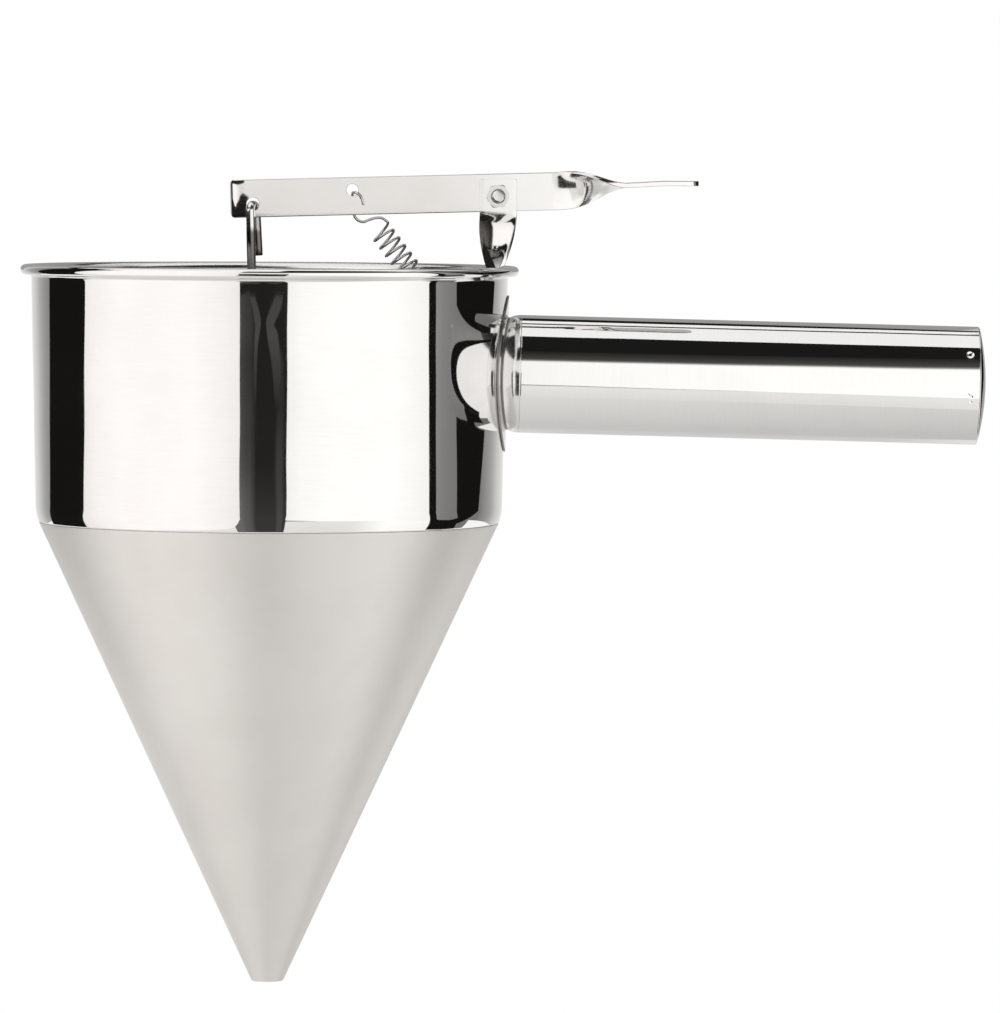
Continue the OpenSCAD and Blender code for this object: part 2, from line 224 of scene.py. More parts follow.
def cutter(r, y0, y1, at, chamfer=0.0, segs=96):
    """A round cutter along Y at (x, z), flared at both mouths."""
    x, z = at
    prof = [(0, y0 - 1), (r + chamfer + 1, y0 - 1), (r, y0 + chamfer),
            (r, y1 - chamfer), (r + chamfer + 1, y1 + 1), (0, y1 + 1)]
    if not chamfer:
        prof = [(0, y0 - 1), (r, y0 - 1), (r, y1 + 1), (0, y1 + 1)]
    turn = Matrix.Translation((x, 0, z)) @ Matrix.Rotation(-math.pi / 2, 4, "X")
    return revolve("cutter", prof, [], segs=segs, at=turn, support=0.5)


def box_mesh(name, low, high, at=None):
    at = at or Matrix.Identity(4)
    v = [at @ Vector((x, y, z)) for x in (low[0], high[0])
         for y in (low[1], high[1]) for z in (low[2], high[2])]
    f = [(0, 1, 3, 2), (4, 6, 7, 5), (0, 4, 5, 1), (2, 3, 7, 6), (0, 2, 6, 4),
         (1, 5, 7, 3)]
    return add(name, v, f, [])


def ease(s):
    return 0.0 if s <= 0 else 1.0 if s >= 1 else s * s * (3 - 2 * s)


def steady(s, r=0.08):
    """From 0 to 1 at an even rate between two short ramps."""
    if s <= 0 or s >= 1:
        return 0.0 if s <= 0 else 1.0
    if s < r:
        return s * s / (2 * r * (1 - r))
    if s > 1 - r:
        return 1 - (1 - s) ** 2 / (2 * r * (1 - r))
    return (s - r / 2) / (1 - r)


# ---------------------------------------------------------------- dimensions

TIP_R, SHOULDER_Z, SHOULDER_R, FILLET = 4.0, 118.1, 58.9, 13.0
DRAFT, SHEET = 1.19, 0.8
RIM_Z, RIM_OUT, RIM_H = 181.4, 2.7, 2.5
HANDLE_Z, HANDLE_R, SADDLE_T = 154.35, 14.9, 0.5
CONE_A = math.degrees(math.atan((SHOULDER_R - TIP_R) / SHOULDER_Z))
_half, _mid = (CONE_A - DRAFT) / 2 * RAD, (CONE_A + DRAFT) / 2 * RAD
ARC_R = SHOULDER_R - FILLET / math.cos(_half) * math.cos(_mid)
ARC_Z = SHOULDER_Z + FILLET / math.cos(_half) * math.sin(_mid)
SEAM_A = DRAFT + 0.8 * (CONE_A - DRAFT)


def arc_at(r, a):
    return (ARC_R + r * math.cos(a * RAD), ARC_Z - r * math.sin(a * RAD))


def wall_r(z):
    return SHOULDER_R + (z - SHOULDER_Z) * math.tan(DRAFT * RAD)


def wall_in(z):
    return wall_r(z) - SHEET / math.cos(DRAFT * RAD)


def rotation_y(deg):
    """OpenSCAD's rotate([0, deg, 0])."""
    return Matrix.Rotation(deg * RAD, 4, "Y")


ON_HANDLE = Matrix.Translation((wall_r(HANDLE_Z) + SADDLE_T, 0, HANDLE_Z)) @ rotation_y(90 + DRAFT)
PIVOT = (57.6, 199.1)
HOOK = (-4.4, 196.8)
EYE = (20.7, 200.5)
SLOPE = 1.67
ON_LEVER = Matrix.Translation((PIVOT[0], 0, PIVOT[1])) @ rotation_y(-SLOPE)


# ----------------------------------------------------------------- materials

class Nodes:
    def __init__(self, name):
        self.mat = bpy.data.materials.new(name)
        self.mat.use_nodes = True
        self.tree = self.mat.node_tree
        self.tree.nodes.clear()

    def node(self, kind, inputs=None, **attrs):
        n = self.tree.nodes.new(kind)
        for k, v in attrs.items():
            setattr(n, k, v)
        for k, v in (inputs or {}).items():
            if isinstance(v, bpy.types.NodeSocket):
                self.tree.links.new(v, n.inputs[k])
            else:
                n.inputs[k].default_value = v
        return n

    def math(self, op, a, b=0.0, c=None, clamp=False):
        n = self.node("ShaderNodeMath", operation=op, use_clamp=clamp)
        for i, v in enumerate((a, b, c)):
            if v is None:
                continue
            if isinstance(v, bpy.types.NodeSocket):
                self.tree.links.new(v, n.inputs[i])
            else:
                n.inputs[i].default_value = v
        return n.outputs[0]

    def scaled(self, vector, scale):
        n = self.node("ShaderNodeVectorMath", operation="MULTIPLY")
        self.tree.links.new(vector, n.inputs[0])
        n.inputs[1].default_value = scale
        return n.outputs[0]

    def noise(self, vector, scale, detail=2.0, rough=0.5, distortion=0.0):
        n = self.node("ShaderNodeTexNoise", {"Vector": vector, "Scale": scale,
                                              "Detail": detail, "Roughness": rough,
                                              "Distortion": distortion})
        return n.outputs["Fac"]

    def spread(self, value, lo, hi, to_lo, to_hi):
        n = self.node("ShaderNodeMapRange", {"Value": value, "From Min": lo,
                                              "From Max": hi, "To Min": to_lo,
                                              "To Max": to_hi})
        return n.outputs[0]

    def tones(self, value, stops):
        n = self.node("ShaderNodeValToRGB", {"Fac": value})
        e = n.color_ramp.elements
        e[0].position, e[0].color = stops[0][0], (*stops[0][1], 1)
        e[1].position, e[1].color = stops[-1][0], (*stops[-1][1], 1)
        for p, c in stops[1:-1]:
            x = e.new(p)
            x.color = (*c, 1)
        return n.outputs["Color"]


def steel(name, dark, light, rough, lines, line_scale, relief, smudge=0.03,
          wear=0.5, aniso=0.0, tangent_axis=None, hills=0.0, hill_scale=30.0,
          speck=0.0, turn=0.0, shade=None):
    """Bare stainless steel. lines is the stretch of the polishing marks along
    X, Y and Z: a large number across the marks and a small one along them."""
    g = Nodes(name)
    where = g.node("ShaderNodeTexCoord").outputs["Object"]
    fine = g.noise(g.scaled(where, tuple(c * line_scale for c in lines)), 1.0, 3.0, 0.62)
    coarse = g.noise(g.scaled(where, tuple(c * line_scale * 0.27 for c in lines)), 1.0, 2.0, 0.5)
    cloud = g.noise(where, 26.0, 4.0, 0.55, 0.4)
    patch = g.noise(where, 110.0, 3.0, 0.5, 0.2)
    # Colour: slow drift between two tones, and a trace of the marks.
    drift = g.math("ADD", g.math("MULTIPLY", cloud, 0.62),
                   g.math("ADD", g.math("MULTIPLY", patch, 0.18),
                          g.math("MULTIPLY", fine, 0.20)))
    mid = tuple((a + b) / 2 for a, b in zip(dark, light))
    colour = g.tones(drift, [(0.34, dark), (0.5, mid), (0.66, light)])
    if shade:
        # A zone of painted shade: how strongly it is painted at a place, and its two darker tones.
        part, low, high = shade(g, where)
        painted_shade_tones = g.tones(drift, [(0.34, low), (0.66, high)])
        mix = g.node("ShaderNodeMixRGB", {"Fac": part, "Color1": colour, "Color2": painted_shade_tones})
        colour = mix.outputs[0]
    # Roughness: marks, wiped smudges and a few hair scratches.
    r = g.spread(fine, 0.3, 0.7, rough[0], rough[1])
    smear = g.spread(cloud, 0.48, 0.72, 0.0, smudge)
    hair_at = g.node("ShaderNodeMapping", {"Vector": where,
                                           "Rotation": (0.4, 0.9, 0.35),
                                           "Scale": (90.0, 1500.0, 240.0)}).outputs[0]
    hair = g.spread(g.noise(hair_at, 1.0, 2.0, 0.5), 0.66, 0.78, 0.0, smudge * wear)
    r = g.math("ADD", r, g.math("ADD", smear, hair), clamp=True)
    # Relief: the marks, the scratches and the sheet's slow waviness.
    height = g.math("ADD", g.math("MULTIPLY", fine, 0.7), g.math("MULTIPLY", coarse, 0.8))
    height = g.math("SUBTRACT", height, g.math("MULTIPLY", hair, 6.0 * wear))
    if speck:
        pits = g.noise(where, 900.0, 1.0, 0.5)
        height = g.math("SUBTRACT", height, g.spread(pits, 0.70, 0.80, 0.0, speck))
    bump = g.node("ShaderNodeBump", {"Height": height, "Strength": 1.0,
                                     "Distance": relief})
    if hills:
        slow = g.noise(where, hill_scale, 1.0, 0.4)
        g.tree.links.new(g.node("ShaderNodeBump", {"Height": slow, "Strength": 1.0,
                                                   "Distance": hills}).outputs[0],
                         bump.inputs["Normal"])
    inputs = {"Base Color": colour, "Metallic": 1.0, "Roughness": r,
              "Normal": bump.outputs[0]}
    if aniso:
        inputs["Anisotropic"] = aniso
        inputs["Anisotropic Rotation"] = turn
        t = g.node("ShaderNodeTangent", direction_type="RADIAL", axis=tangent_axis or "Z")
        inputs["Tangent"] = t.outputs[0]
    shader = g.node("ShaderNodeBsdfPrincipled", inputs)
    g.node("ShaderNodeOutputMaterial", {"Surface": shader.outputs[0]})
    g.mat.diffuse_color = (*mid, 1)
    return g.mat


MIRROR = steel("bowl_mirror", (0.79, 0.78, 0.775), (0.85, 0.845, 0.84),
               (0.018, 0.035), (0.6, 0.6, 9.0), 220.0, 1.2e-7, smudge=0.022,
               hills=4.0e-6, hill_scale=34.0)
INSIDE = steel("bowl_inside", (0.70, 0.695, 0.685), (0.78, 0.775, 0.765),
               (0.13, 0.20), (0.5, 0.5, 9.0), 260.0, 1.0e-6, smudge=0.03)
SATIN = steel("cone_satin", (0.735, 0.715, 0.69), (0.80, 0.785, 0.762),
              (0.48, 0.57), (0.7, 0.7, 12.0), 260.0, 2.2e-6, smudge=0.03,
              aniso=0.4, tangent_axis="Z", turn=0.25)
HANDLE = steel("handle_mirror", (0.79, 0.78, 0.775), (0.85, 0.845, 0.84),
               (0.02, 0.04), (9.0, 0.6, 0.6), 200.0, 1.2e-7, smudge=0.022,
               hills=2.5e-6, hill_scale=38.0)
WELD = steel("weld_polished", (0.74, 0.73, 0.72), (0.82, 0.81, 0.80),
             (0.10, 0.17), (0.8, 5.0, 5.0), 260.0, 8.0e-7, smudge=0.06,
             hills=4.0e-6, hill_scale=160.0)
LEVER = steel("lever_polished", (0.77, 0.755, 0.74), (0.84, 0.83, 0.82),
              (0.07, 0.12), (0.7, 9.0, 9.0), 240.0, 7.0e-7, smudge=0.04,
              speck=0.5)
BRACKET = steel("bracket_polished", (0.77, 0.76, 0.75), (0.84, 0.83, 0.825),
                (0.06, 0.11), (8.0, 8.0, 0.7), 240.0, 6.0e-7, smudge=0.04)
WIRE = steel("drawn_wire", (0.60, 0.59, 0.58), (0.72, 0.71, 0.70),
             (0.14, 0.22), (6.0, 6.0, 0.8), 300.0, 8.0e-7, smudge=0.04)
FASTENER = steel("plain_steel", (0.70, 0.69, 0.68), (0.80, 0.795, 0.785),
                 (0.24, 0.34), (5.0, 1.0, 5.0), 420.0, 8.0e-7, smudge=0.05)
# Rough steel of the saddle's rim and the weld's toe. Its rougher finish is the raw edge; its dark colour is painted
# shade along the plate's edge and in the corner where the ferrule meets the saddle.
ROUGH_EDGE_PAINTED_SHADE = steel("rough_edge_painted_shade", (0.26, 0.25, 0.245), (0.38, 0.37, 0.36),
                 (0.30, 0.42), (3.0, 3.0, 3.0), 420.0, 1.0e-6, smudge=0.05)


def rod_painted_shade(g, where):
    """Painted shade: the wire keeps its bright colour near the bend, and is painted dark below and behind the lever.
    """
    split = g.node("ShaderNodeSeparateXYZ", {"Vector": where}).outputs
    # Painted shade: a wavering line near 190 mm, dark below it, and dark behind the lever.
    wander = g.math("MULTIPLY", g.math("SUBTRACT", g.noise(g.scaled(where, (900.0, 900.0, 120.0)), 1.0, 2.0), 0.5), 0.003)
    height = g.math("ADD", split["Z"], wander)
    below = g.spread(height, 0.1912, 0.1896, 0.0, 1.0)
    behind = g.spread(split["Y"], 0.0026, 0.0034, 0.0, 1.0)
    return (g.math("MAXIMUM", below, behind), (0.13, 0.125, 0.12), (0.24, 0.23, 0.22))


# The wire's colour carries painted shade below and behind the lever.
ROD_WIRE = steel("rod_wire", (0.76, 0.75, 0.74), (0.84, 0.83, 0.82),
                 (0.14, 0.24), (6.0, 6.0, 0.35), 420.0, 1.2e-6, smudge=0.05,
                 shade=rod_painted_shade)
PLUG = steel("turned_steel", (0.66, 0.65, 0.64), (0.75, 0.745, 0.735),
             (0.2, 0.28), (0.7, 0.7, 10.0), 420.0, 1.5e-6, smudge=0.04)


def finish_piece(o, body, slot, *nodes):
    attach(o, body)
    if nodes:
        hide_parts(*nodes)
    return o


# -------------------------------------------------------------------- hopper

def wall_wave(t, r, z):
    """The drawn wall's slow unevenness, a few hundredths of a millimetre."""
    w = ease((z - 119.5) / 7.0) * ease((176.0 - z) / 6.0)
    return w * (0.012 * math.sin(5 * t + 0.13 * z) + 0.010 * math.sin(9 * t - 0.21 * z + 1.1)
                + 0.006 * math.sin(3 * t + 0.33 * z + 2.3))


def bowl_profile():
    bead = RIM_H / 2
    bead_r = wall_r(RIM_Z) + RIM_OUT - bead
    flare = 2.0
    in_r = wall_in(RIM_Z - flare)
    low = RIM_Z - RIM_H
    pts, mat = [], []

    def put(p, m):
        pts.append(p)
        mat.append(m)

    # Shoulder, from the seam up.
    seam = arc_at(FILLET, SEAM_A)
    put((seam[0] - 0.10, seam[1] - 0.02), 0)
    for i in range(1, 33):
        put(arc_at(FILLET, SEAM_A + (DRAFT - SEAM_A) * i / 32), 0)
    # Wall, a small concave fillet, and the underside of the roll.
    f = 0.9
    zc = low - f
    put((wall_r(zc), zc), 0)
    for i in range(1, 13):
        a = math.pi * i / 24
        put((wall_r(zc) + f * (1 - math.cos(a)), zc + f * math.sin(a)), 0)
    for i in range(0, 37):
        a = (-90 + 180 * i / 36) * RAD
        put((bead_r + bead * math.cos(a), RIM_Z - bead + bead * math.sin(a)), 0)
    for i in range(0, 17):
        a = (90 + 90 * i / 16) * RAD
        put((in_r + flare + flare * math.cos(a), RIM_Z - flare + flare * math.sin(a)), 1)
    for i in range(0, 25):
        put(arc_at(FILLET - SHEET, DRAFT + (SEAM_A - DRAFT) * i / 24), 1)
    return pts, mat


pts, mat = bowl_profile()
bowl = revolve("bowl_shell", pts, [MIRROR, INSIDE], segs=384, seg_mat=mat,
               push=wall_wave, support=0.35, longest=4.0)
finish_piece(bowl, "root", "bowl_steel", "hopper_bowl")


def cone_profile():
    c = math.cos(CONE_A * RAD)
    e = 0.14
    tip_in = TIP_R - SHEET / c
    pts = [(TIP_R - e, 0.0), (TIP_R - e * 0.3, e * 0.35), (TIP_R + e * math.tan(CONE_A * RAD), e)]
    pts += [arc_at(FILLET, CONE_A + (SEAM_A - CONE_A) * i / 6) for i in range(6)]
    s = arc_at(FILLET, SEAM_A)
    pts.append((s[0] - 0.10, s[1] - 0.10))
    pts += [arc_at(FILLET - SHEET, SEAM_A + (CONE_A - SEAM_A) * i / 6) for i in range(7)]
    pts += [(tip_in + e * math.tan(CONE_A * RAD), e), (tip_in + e * 0.5, 0.0)]
    return pts


cone = revolve("cone_shell", cone_profile(), [SATIN], segs=320, support=0.3, longest=5.0)
finish_piece(cone, "root", "cone_steel", "funnel_cone")


# -------------------------------------------------------------------- handle

def make_saddle():
    h, w = 39.5 / 2, 32.0 / 2
    t, slack, e = SADDLE_T, 0.03, 0.22
    n = 160

    def place(y, z, off):
        r = wall_r(z) + off
        return Vector((math.sqrt(max(r * r - y * y, 0.0)), y, z))

    verts, faces, rings = [], [], []
    verts.append(place(0, HANDLE_Z, t))
    rings.append([0] * n)

    def ring(scale_in, off):
        row = []
        for j in range(n):
            a = 2 * math.pi * j / n
            cz, cy = math.cos(a), math.sin(a)
            m = math.hypot(h * cz, w * cy)
            k = (m + scale_in) / m
            row.append(len(verts))
            verts.append(place(w * cy * k, HANDLE_Z + h * cz * k, off))
        rings.append(row)

    for s in range(1, 15):
        row = []
        for j in range(n):
            a = 2 * math.pi * j / n
            k = s / 15 * 0.975
            row.append(len(verts))
            verts.append(place(w * math.sin(a) * k, HANDLE_Z + h * math.cos(a) * k, t))
        rings.append(row)
    for i in range(7):
        a = i / 6 * 90 * RAD
        ring(-e * (1 - math.sin(a)), t - e * (1 - math.cos(a)))
    ring(0.0, slack + 0.1)
    ring(-0.1, slack)
    for s in range(14, 0, -1):
        row = []
        for j in range(n):
            a = 2 * math.pi * j / n
            k = s / 15 * 0.97
            row.append(len(verts))
            verts.append(place(w * math.sin(a) * k, HANDLE_Z + h * math.cos(a) * k, slack))
        rings.append(row)
    last = len(verts)
    verts.append(place(0, HANDLE_Z, slack))
    rings.append([last] * n)
    marks = []
    for i, (a, b) in enumerate(zip(rings, rings[1:])):
        for j in range(n):
            k = (j + 1) % n
            f = []
            for v in (a[j], a[k], b[k], b[j]):
                if v not in f:
                    f.append(v)
            faces.append(f)
            # The plate's rounded rim takes the second material, whose dark colour is painted shade along the edge.
            marks.append(1 if 16 <= i <= 22 else 0)
    return add("saddle_plate", verts, faces, [HANDLE, ROUGH_EDGE_PAINTED_SHADE], marks, angle=50)


finish_piece(make_saddle(), "root", "handle_steel", "handle_saddle")

FERRULE_LEN, TUBE_LEN, TUBE_WALL = 3.25, 115.3, 0.8


def make_ferrule():
    n = 240
    swell, wall = 6.5, 1.0
    spigot = HANDLE_R - TUBE_WALL
    inner = spigot - wall
    axis = ON_HANDLE.to_3x3()
    origin = ON_HANDLE.translation

    def point(ang, r, z):
        return origin + axis @ Vector((r * math.cos(ang), r * math.sin(ang), z))

    def reach(ang, r):
        """Where the line at this angle and radius leaves the saddle."""
        lo, hi = -8.0, 8.0
        for _ in range(40):
            m = (lo + hi) / 2
            p = point(ang, r, m)
            if math.hypot(p.x, p.y) > wall_r(p.z) + SADDLE_T:
                hi = m
            else:
                lo = m
        return hi

    def outer_r(z):
        d = min(swell - 0.05, max(0.0, FERRULE_LEN - z))
        return HANDLE_R - swell + math.sqrt(swell * swell - d * d)

    steps = 22
    cols = []
    for j in range(n):
        a = 2 * math.pi * j / n
        z0 = reach(a, HANDLE_R - 1.0)
        for _ in range(4):
            z0 = reach(a, outer_r(z0))
        # The weld's toe against the saddle, then the swelling outside.
        toe = 0.35
        col = [(outer_r(z0) + 0.16, z0 + 0.01), (outer_r(z0 + toe * 0.5) + 0.10, z0 + toe * 0.5),
               (outer_r(z0 + toe) + 0.01, z0 + toe)]
        for s in range(1, steps + 1):
            z = z0 + toe + (FERRULE_LEN - 0.06 - z0 - toe) * (s / steps)
            col.append((outer_r(z), z))
        col += [(HANDLE_R - 0.02, FERRULE_LEN - 0.02), (HANDLE_R - 0.06, FERRULE_LEN),
                (spigot, FERRULE_LEN), (spigot, FERRULE_LEN + 5.8), (spigot - 0.2, FERRULE_LEN + 6),
                (inner, FERRULE_LEN + 6)]
        ze = reach(a, min(inner, outer_r(z0) - wall))
        for s in range(6):
            z = 1.6 + (ze - 1.6) * s / 5
            col.append((min(inner, outer_r(z) - wall), z))
        cols.append([point(a, r, z) for r, z in col])
    m = len(cols[0])
    verts = [p for c in cols for p in c]
    faces, marks = [], []
    for j in range(n):
        k = (j + 1) % n
        for i in range(m):
            i2 = (i + 1) % m
            faces.append((j * m + i, k * m + i, k * m + i2, j * m + i2))
            # The first two rows, the weld's toe against the saddle, take the second material: painted shade in the
            # corner.
            marks.append(1 if i < 2 else 0)
    return add("ferrule_ring", verts, faces, [WELD, ROUGH_EDGE_PAINTED_SHADE], marks, angle=40)


finish_piece(make_ferrule(), "root", "handle_steel", "handle_ferrule")

# Punched marks near the tube's end: angle in the handle frame, distance along
# it, radius and depth.
PUNCHES = [(-123.0, 116.05, 0.95, 0.30), (-3.0, 116.05, 0.95, 0.30),
           (117.0, 116.05, 0.95, 0.30),
           (-82.4, 115.7, 0.40, 0.12), (-80.8, 116.4, 0.45, 0.13), (-75.8, 116.35, 0.33, 0.12)]


def punched(t, r, z):
    if r < HANDLE_R - 0.3 or z < 114.5:
        return tube_wave(t, r, z)
    d = tube_wave(t, r, z)
    for a, pz, pr, depth in PUNCHES:
        x = ((t - a * RAD + math.pi) % (2 * math.pi) - math.pi) * HANDLE_R
        q = math.hypot(x, z - pz) / pr
        if q < 1.0:
            d -= depth * (1 - q * q) ** 0.8
        elif q < 1.7:
            d += 0.035 * depth * math.sin((q - 1) / 0.7 * math.pi)
    return d


def tube_wave(t, r, z):
    w = ease((z - 6) / 8.0) * ease((113.0 - z) / 8.0)
    return w * (0.006 * math.sin(3 * t + 0.11 * z) + 0.004 * math.sin(5 * t - 0.17 * z + 0.6))


def tube_profile():
    e = 0.07
    z0, z1 = FERRULE_LEN + 0.015, FERRULE_LEN + TUBE_LEN
    bore = HANDLE_R - TUBE_WALL
    pts = [(bore + 0.01, z0), (HANDLE_R - e, z0)]
    pts += [(HANDLE_R - e * (1 - math.sin(a * RAD)), z0 + e * (1 - math.cos(a * RAD)))
            for a in (22.5, 45, 67.5, 90)]
    z = z0 + 4
    while z < 112:
        pts.append((HANDLE_R, z))
        z += 6
    z = 115.0
    while z < z1 - e - 0.02:
        pts.append((HANDLE_R, z))
        z += 0.11
    pts += [(HANDLE_R - e * (1 - math.cos(a * RAD)), z1 - e + e * math.sin(a * RAD))
            for a in (0, 22.5, 45, 67.5, 90)]
    pts += [(bore + 0.01, z1)]
    return pts


grip = revolve("grip_tube", tube_profile(), [HANDLE], segs=560, at=ON_HANDLE,
               push=punched, support=0.2, longest=10.0, angle=60)
finish_piece(grip, "root", "handle_steel", "handle_tube")


def cap_profile():
    z1 = FERRULE_LEN + TUBE_LEN
    dome_h, edge = 1.9, 0.35
    r = HANDLE_R - 0.1
    dome_r = (r * r + dome_h * dome_h) / (2 * dome_h)
    top = z1 + edge + dome_h
    skirt_r = HANDLE_R - TUBE_WALL
    skirt_in = skirt_r - 0.8
    pts = [(skirt_r - 0.02, z1 - 6), (skirt_r - 0.02, z1 + 0.03), (r - 0.14, z1 + 0.03),
           (r - 0.03, z1 + 0.09), (r, z1 + 0.17)]
    # The dome turns down to the flange on a small radius.
    knee = 1.1
    n = 22
    for i in range(1, n + 1):
        x = r * (1 - i / n)
        z = top - dome_r + math.sqrt(dome_r * dome_r - x * x)
        if x > r - knee:
            u = (x - (r - knee)) / knee
            z -= 0.10 * u * u
        pts.append((x, z))
    pts[5:5] = [(r - 0.01, z1 + 0.24), (r - 0.07, z1 + 0.31)]
    ri = dome_r - 0.8
    pts += [(0.0, top - 0.8)]
    for i in range(1, 11):
        x = skirt_in * i / 10
        pts.append((x, top - dome_r + math.sqrt(ri * ri - x * x)))
    pts.append((skirt_in, z1 - 6))
    return pts


cap = revolve("end_cap", cap_profile(), [HANDLE], segs=256, at=ON_HANDLE,
              support=0.15, longest=8.0, angle=50)
finish_piece(cap, "root", "handle_steel", "handle_end_cap")


# --------------------------------------------------------- bracket and pivot

PLATE_BACK, PLATE_T, PLATE_W = 0.95, 1.2, 9.4
PLATE_FRONT = PLATE_BACK - PLATE_T
PLATE_MID = (PLATE_BACK + PLATE_FRONT) / 2
TWIST_END = 172.7
FOOT_FACE = math.sqrt(wall_in(TWIST_END) ** 2 - (PLATE_W / 2 + abs(PLATE_MID)) ** 2) - 0.12
FOOT_MID = FOOT_FACE - PLATE_T / 2


def make_bracket():
    top_mid, top_z, flat_to, foot_z = 57.65, 203.4, 195.3, 148.0
    turned_at, waist_x, waist_z = 176.0, 56.8, 180.5
    c = 0.45
    ht = PLATE_T / 2

    def set_back(z):
        """The strip steps back a little where its twist begins."""
        return 0.25 * ease((195.3 - z) / 2.7)

    # From the inset top edge out to the full width.
    st = [((top_mid, PLATE_MID, top_z - c * (1 - math.cos(i / 8 * 90 * RAD))), (1, 0, 0),
           PLATE_W / 2 - c * (1 - math.sin(i / 8 * 90 * RAD)), (0, 1, 0), ht) for i in range(9)]
    for z in (201.0, 199.1, 197.0, 195.6):
        st.append(((top_mid, PLATE_MID, z), (1, 0, 0), PLATE_W / 2, (0, 1, 0), ht))
    n = 120
    for i in range(n + 1):
        z = flat_to - (flat_to - TWIST_END) * i / n
        a = 90 * steady((flat_to - z) / (flat_to - turned_at)) * RAD
        if z > waist_z:
            cx = top_mid + (waist_x - top_mid) * steady((flat_to - z) / (flat_to - waist_z))
        else:
            cx = waist_x + (FOOT_MID - waist_x) * ease((waist_z - z) / (waist_z - TWIST_END))
        st.append(((cx, PLATE_MID + set_back(z), z), (math.cos(a), -math.sin(a), 0), PLATE_W / 2,
                   (math.sin(a), math.cos(a), 0), ht))
    lean = math.tan(DRAFT * RAD)
    for z in (172.3, 168, 162, 156, 150):
        st.append(((FOOT_MID - (TWIST_END - z) * lean, PLATE_MID + set_back(z), z), (0, -1, 0),
                   PLATE_W / 2, (1, 0, 0), ht))
    for i in range(9):
        a = i / 8 * 90 * RAD
        z = foot_z + c * (1 - math.sin(a))
        st.append(((FOOT_MID - (TWIST_END - z) * lean, PLATE_MID + set_back(z), z), (0, -1, 0),
                   PLATE_W / 2 - c * (1 - math.cos(a)), (1, 0, 0), ht))
    o = strip("pivot_strip", st, [BRACKET], corner=0.2)
    boolean(o, cutter(1.6, PLATE_FRONT, PLATE_BACK, PIVOT, chamfer=0.1))
    return o


finish_piece(make_bracket(), "root", "bracket_steel", "pivot_bracket")

LEVER_FRONT, LEVER_T = 1.45, 1.3
LEVER_BACK = LEVER_FRONT + LEVER_T
WASHER_T = 0.45
HEAD_Y = LEVER_BACK + 0.05 + WASHER_T
ON_PIVOT = Matrix.Translation((PIVOT[0], 0, PIVOT[1]))
ALONG_Y = Matrix.Rotation(-math.pi / 2, 4, "X")


def make_bolt():
    # Turned about +Y. A rolled thread runs out at the front end.
    y0 = PLATE_FRONT - 2.85
    r, root = 1.48, 1.27
    prof = [(0.0, y0 + 0.06), (0.9, y0 + 0.02), (1.12, y0), (1.26, y0 + 0.1)]
    pitch = 0.5
    y = y0 + 0.16
    while y < PLATE_FRONT - 0.3:
        prof += [(root, y), (root + 0.02, y + 0.06), (r, y + 0.21), (r, y + 0.27), (root + 0.02, y + 0.42)]
        y += pitch
    prof += [(root, y), (r, y + 0.22), (r, HEAD_Y), (2.9 - 0.12, HEAD_Y), (2.9, HEAD_Y + 0.12),
             (2.9, HEAD_Y + 0.7)]
    prof += [(1.7 + 1.2 * math.cos(a * RAD), HEAD_Y + 0.7 + 1.2 * math.sin(a * RAD))
             for a in range(6, 91, 6)]
    prof += [(0.0, HEAD_Y + 1.9)]
    o = revolve("pivot_screw", prof, [FASTENER], segs=128, at=ON_PIVOT @ ALONG_Y,
                support=0.1, longest=3.0, angle=28)
    for a in (20, 110):
        turn = ON_PIVOT @ rotation_y(a)
        # A slot of the cross recess.
        b = box_mesh("slot", (-1.5, HEAD_Y + 0.9, -0.3), (1.5, HEAD_Y + 3, 0.3), turn)
        boolean(o, b, angle=28)
    return o


finish_piece(make_bolt(), "root", "fastener_steel", "pivot_bolt")


def make_nut():
    af, h = 5.5, 2.4
    to_front = Matrix.Translation((PIVOT[0], PLATE_FRONT, PIVOT[1])) @ Matrix.Rotation(math.pi / 2, 4, "X")
    n, rc = 6, af / math.sqrt(3)
    # The six flats meet on slightly rounded edges.
    e = 0.12
    ring = []
    for i in range(n):
        for s in range(-2, 3):
            a = (4 + 60 * i) * RAD
            centre = Vector((math.cos(a), math.sin(a))) * (rc - e / math.cos(30 * RAD))
            t = a + s / 2 * 30 * RAD
            ring.append(centre + Vector((math.cos(t), math.sin(t))) * e)
    zs = [0.0, 0.25, h - 0.25, h]
    verts, faces = [], []
    m = len(ring)
    for z in zs:
        verts += [to_front @ Vector((p.x, p.y, z)) for p in ring]
    for i in range(len(zs) - 1):
        for k in range(m):
            a, b = i * m + k, i * m + (k + 1) % m
            faces.append((a, b, b + m, a + m))
    faces.append(tuple(range(m)))
    faces.append(tuple(range((len(zs) - 1) * m, len(zs) * m)))
    o = add("pivot_hex_nut", verts, faces, [FASTENER])
    shape = revolve("turning", [(0, -0.001), (2.9, -0.001), (3.25, 0.22), (3.25, h - 0.26), (2.72, h + 0.001),
                                (0, h + 0.001)], [], segs=128, at=to_front, support=0.3)
    boolean(o, shape, "INTERSECT")
    bore = [(0, -1), (2.2, -1), (1.5, 0.25)]
    z = 0.3
    while z < h - 0.6:
        bore += [(1.5, z), (1.66, z + 0.2), (1.5, z + 0.4)]
        z += 0.5
    bore += [(1.5, h - 0.32), (1.86, h - 0.02), (1.9, h + 1), (0, h + 1)]
    hole = revolve("bore", bore, [], segs=96, at=to_front, support=0.4)
    boolean(o, hole, angle=28)
    return o


finish_piece(make_nut(), "root", "fastener_steel", "pivot_nut")


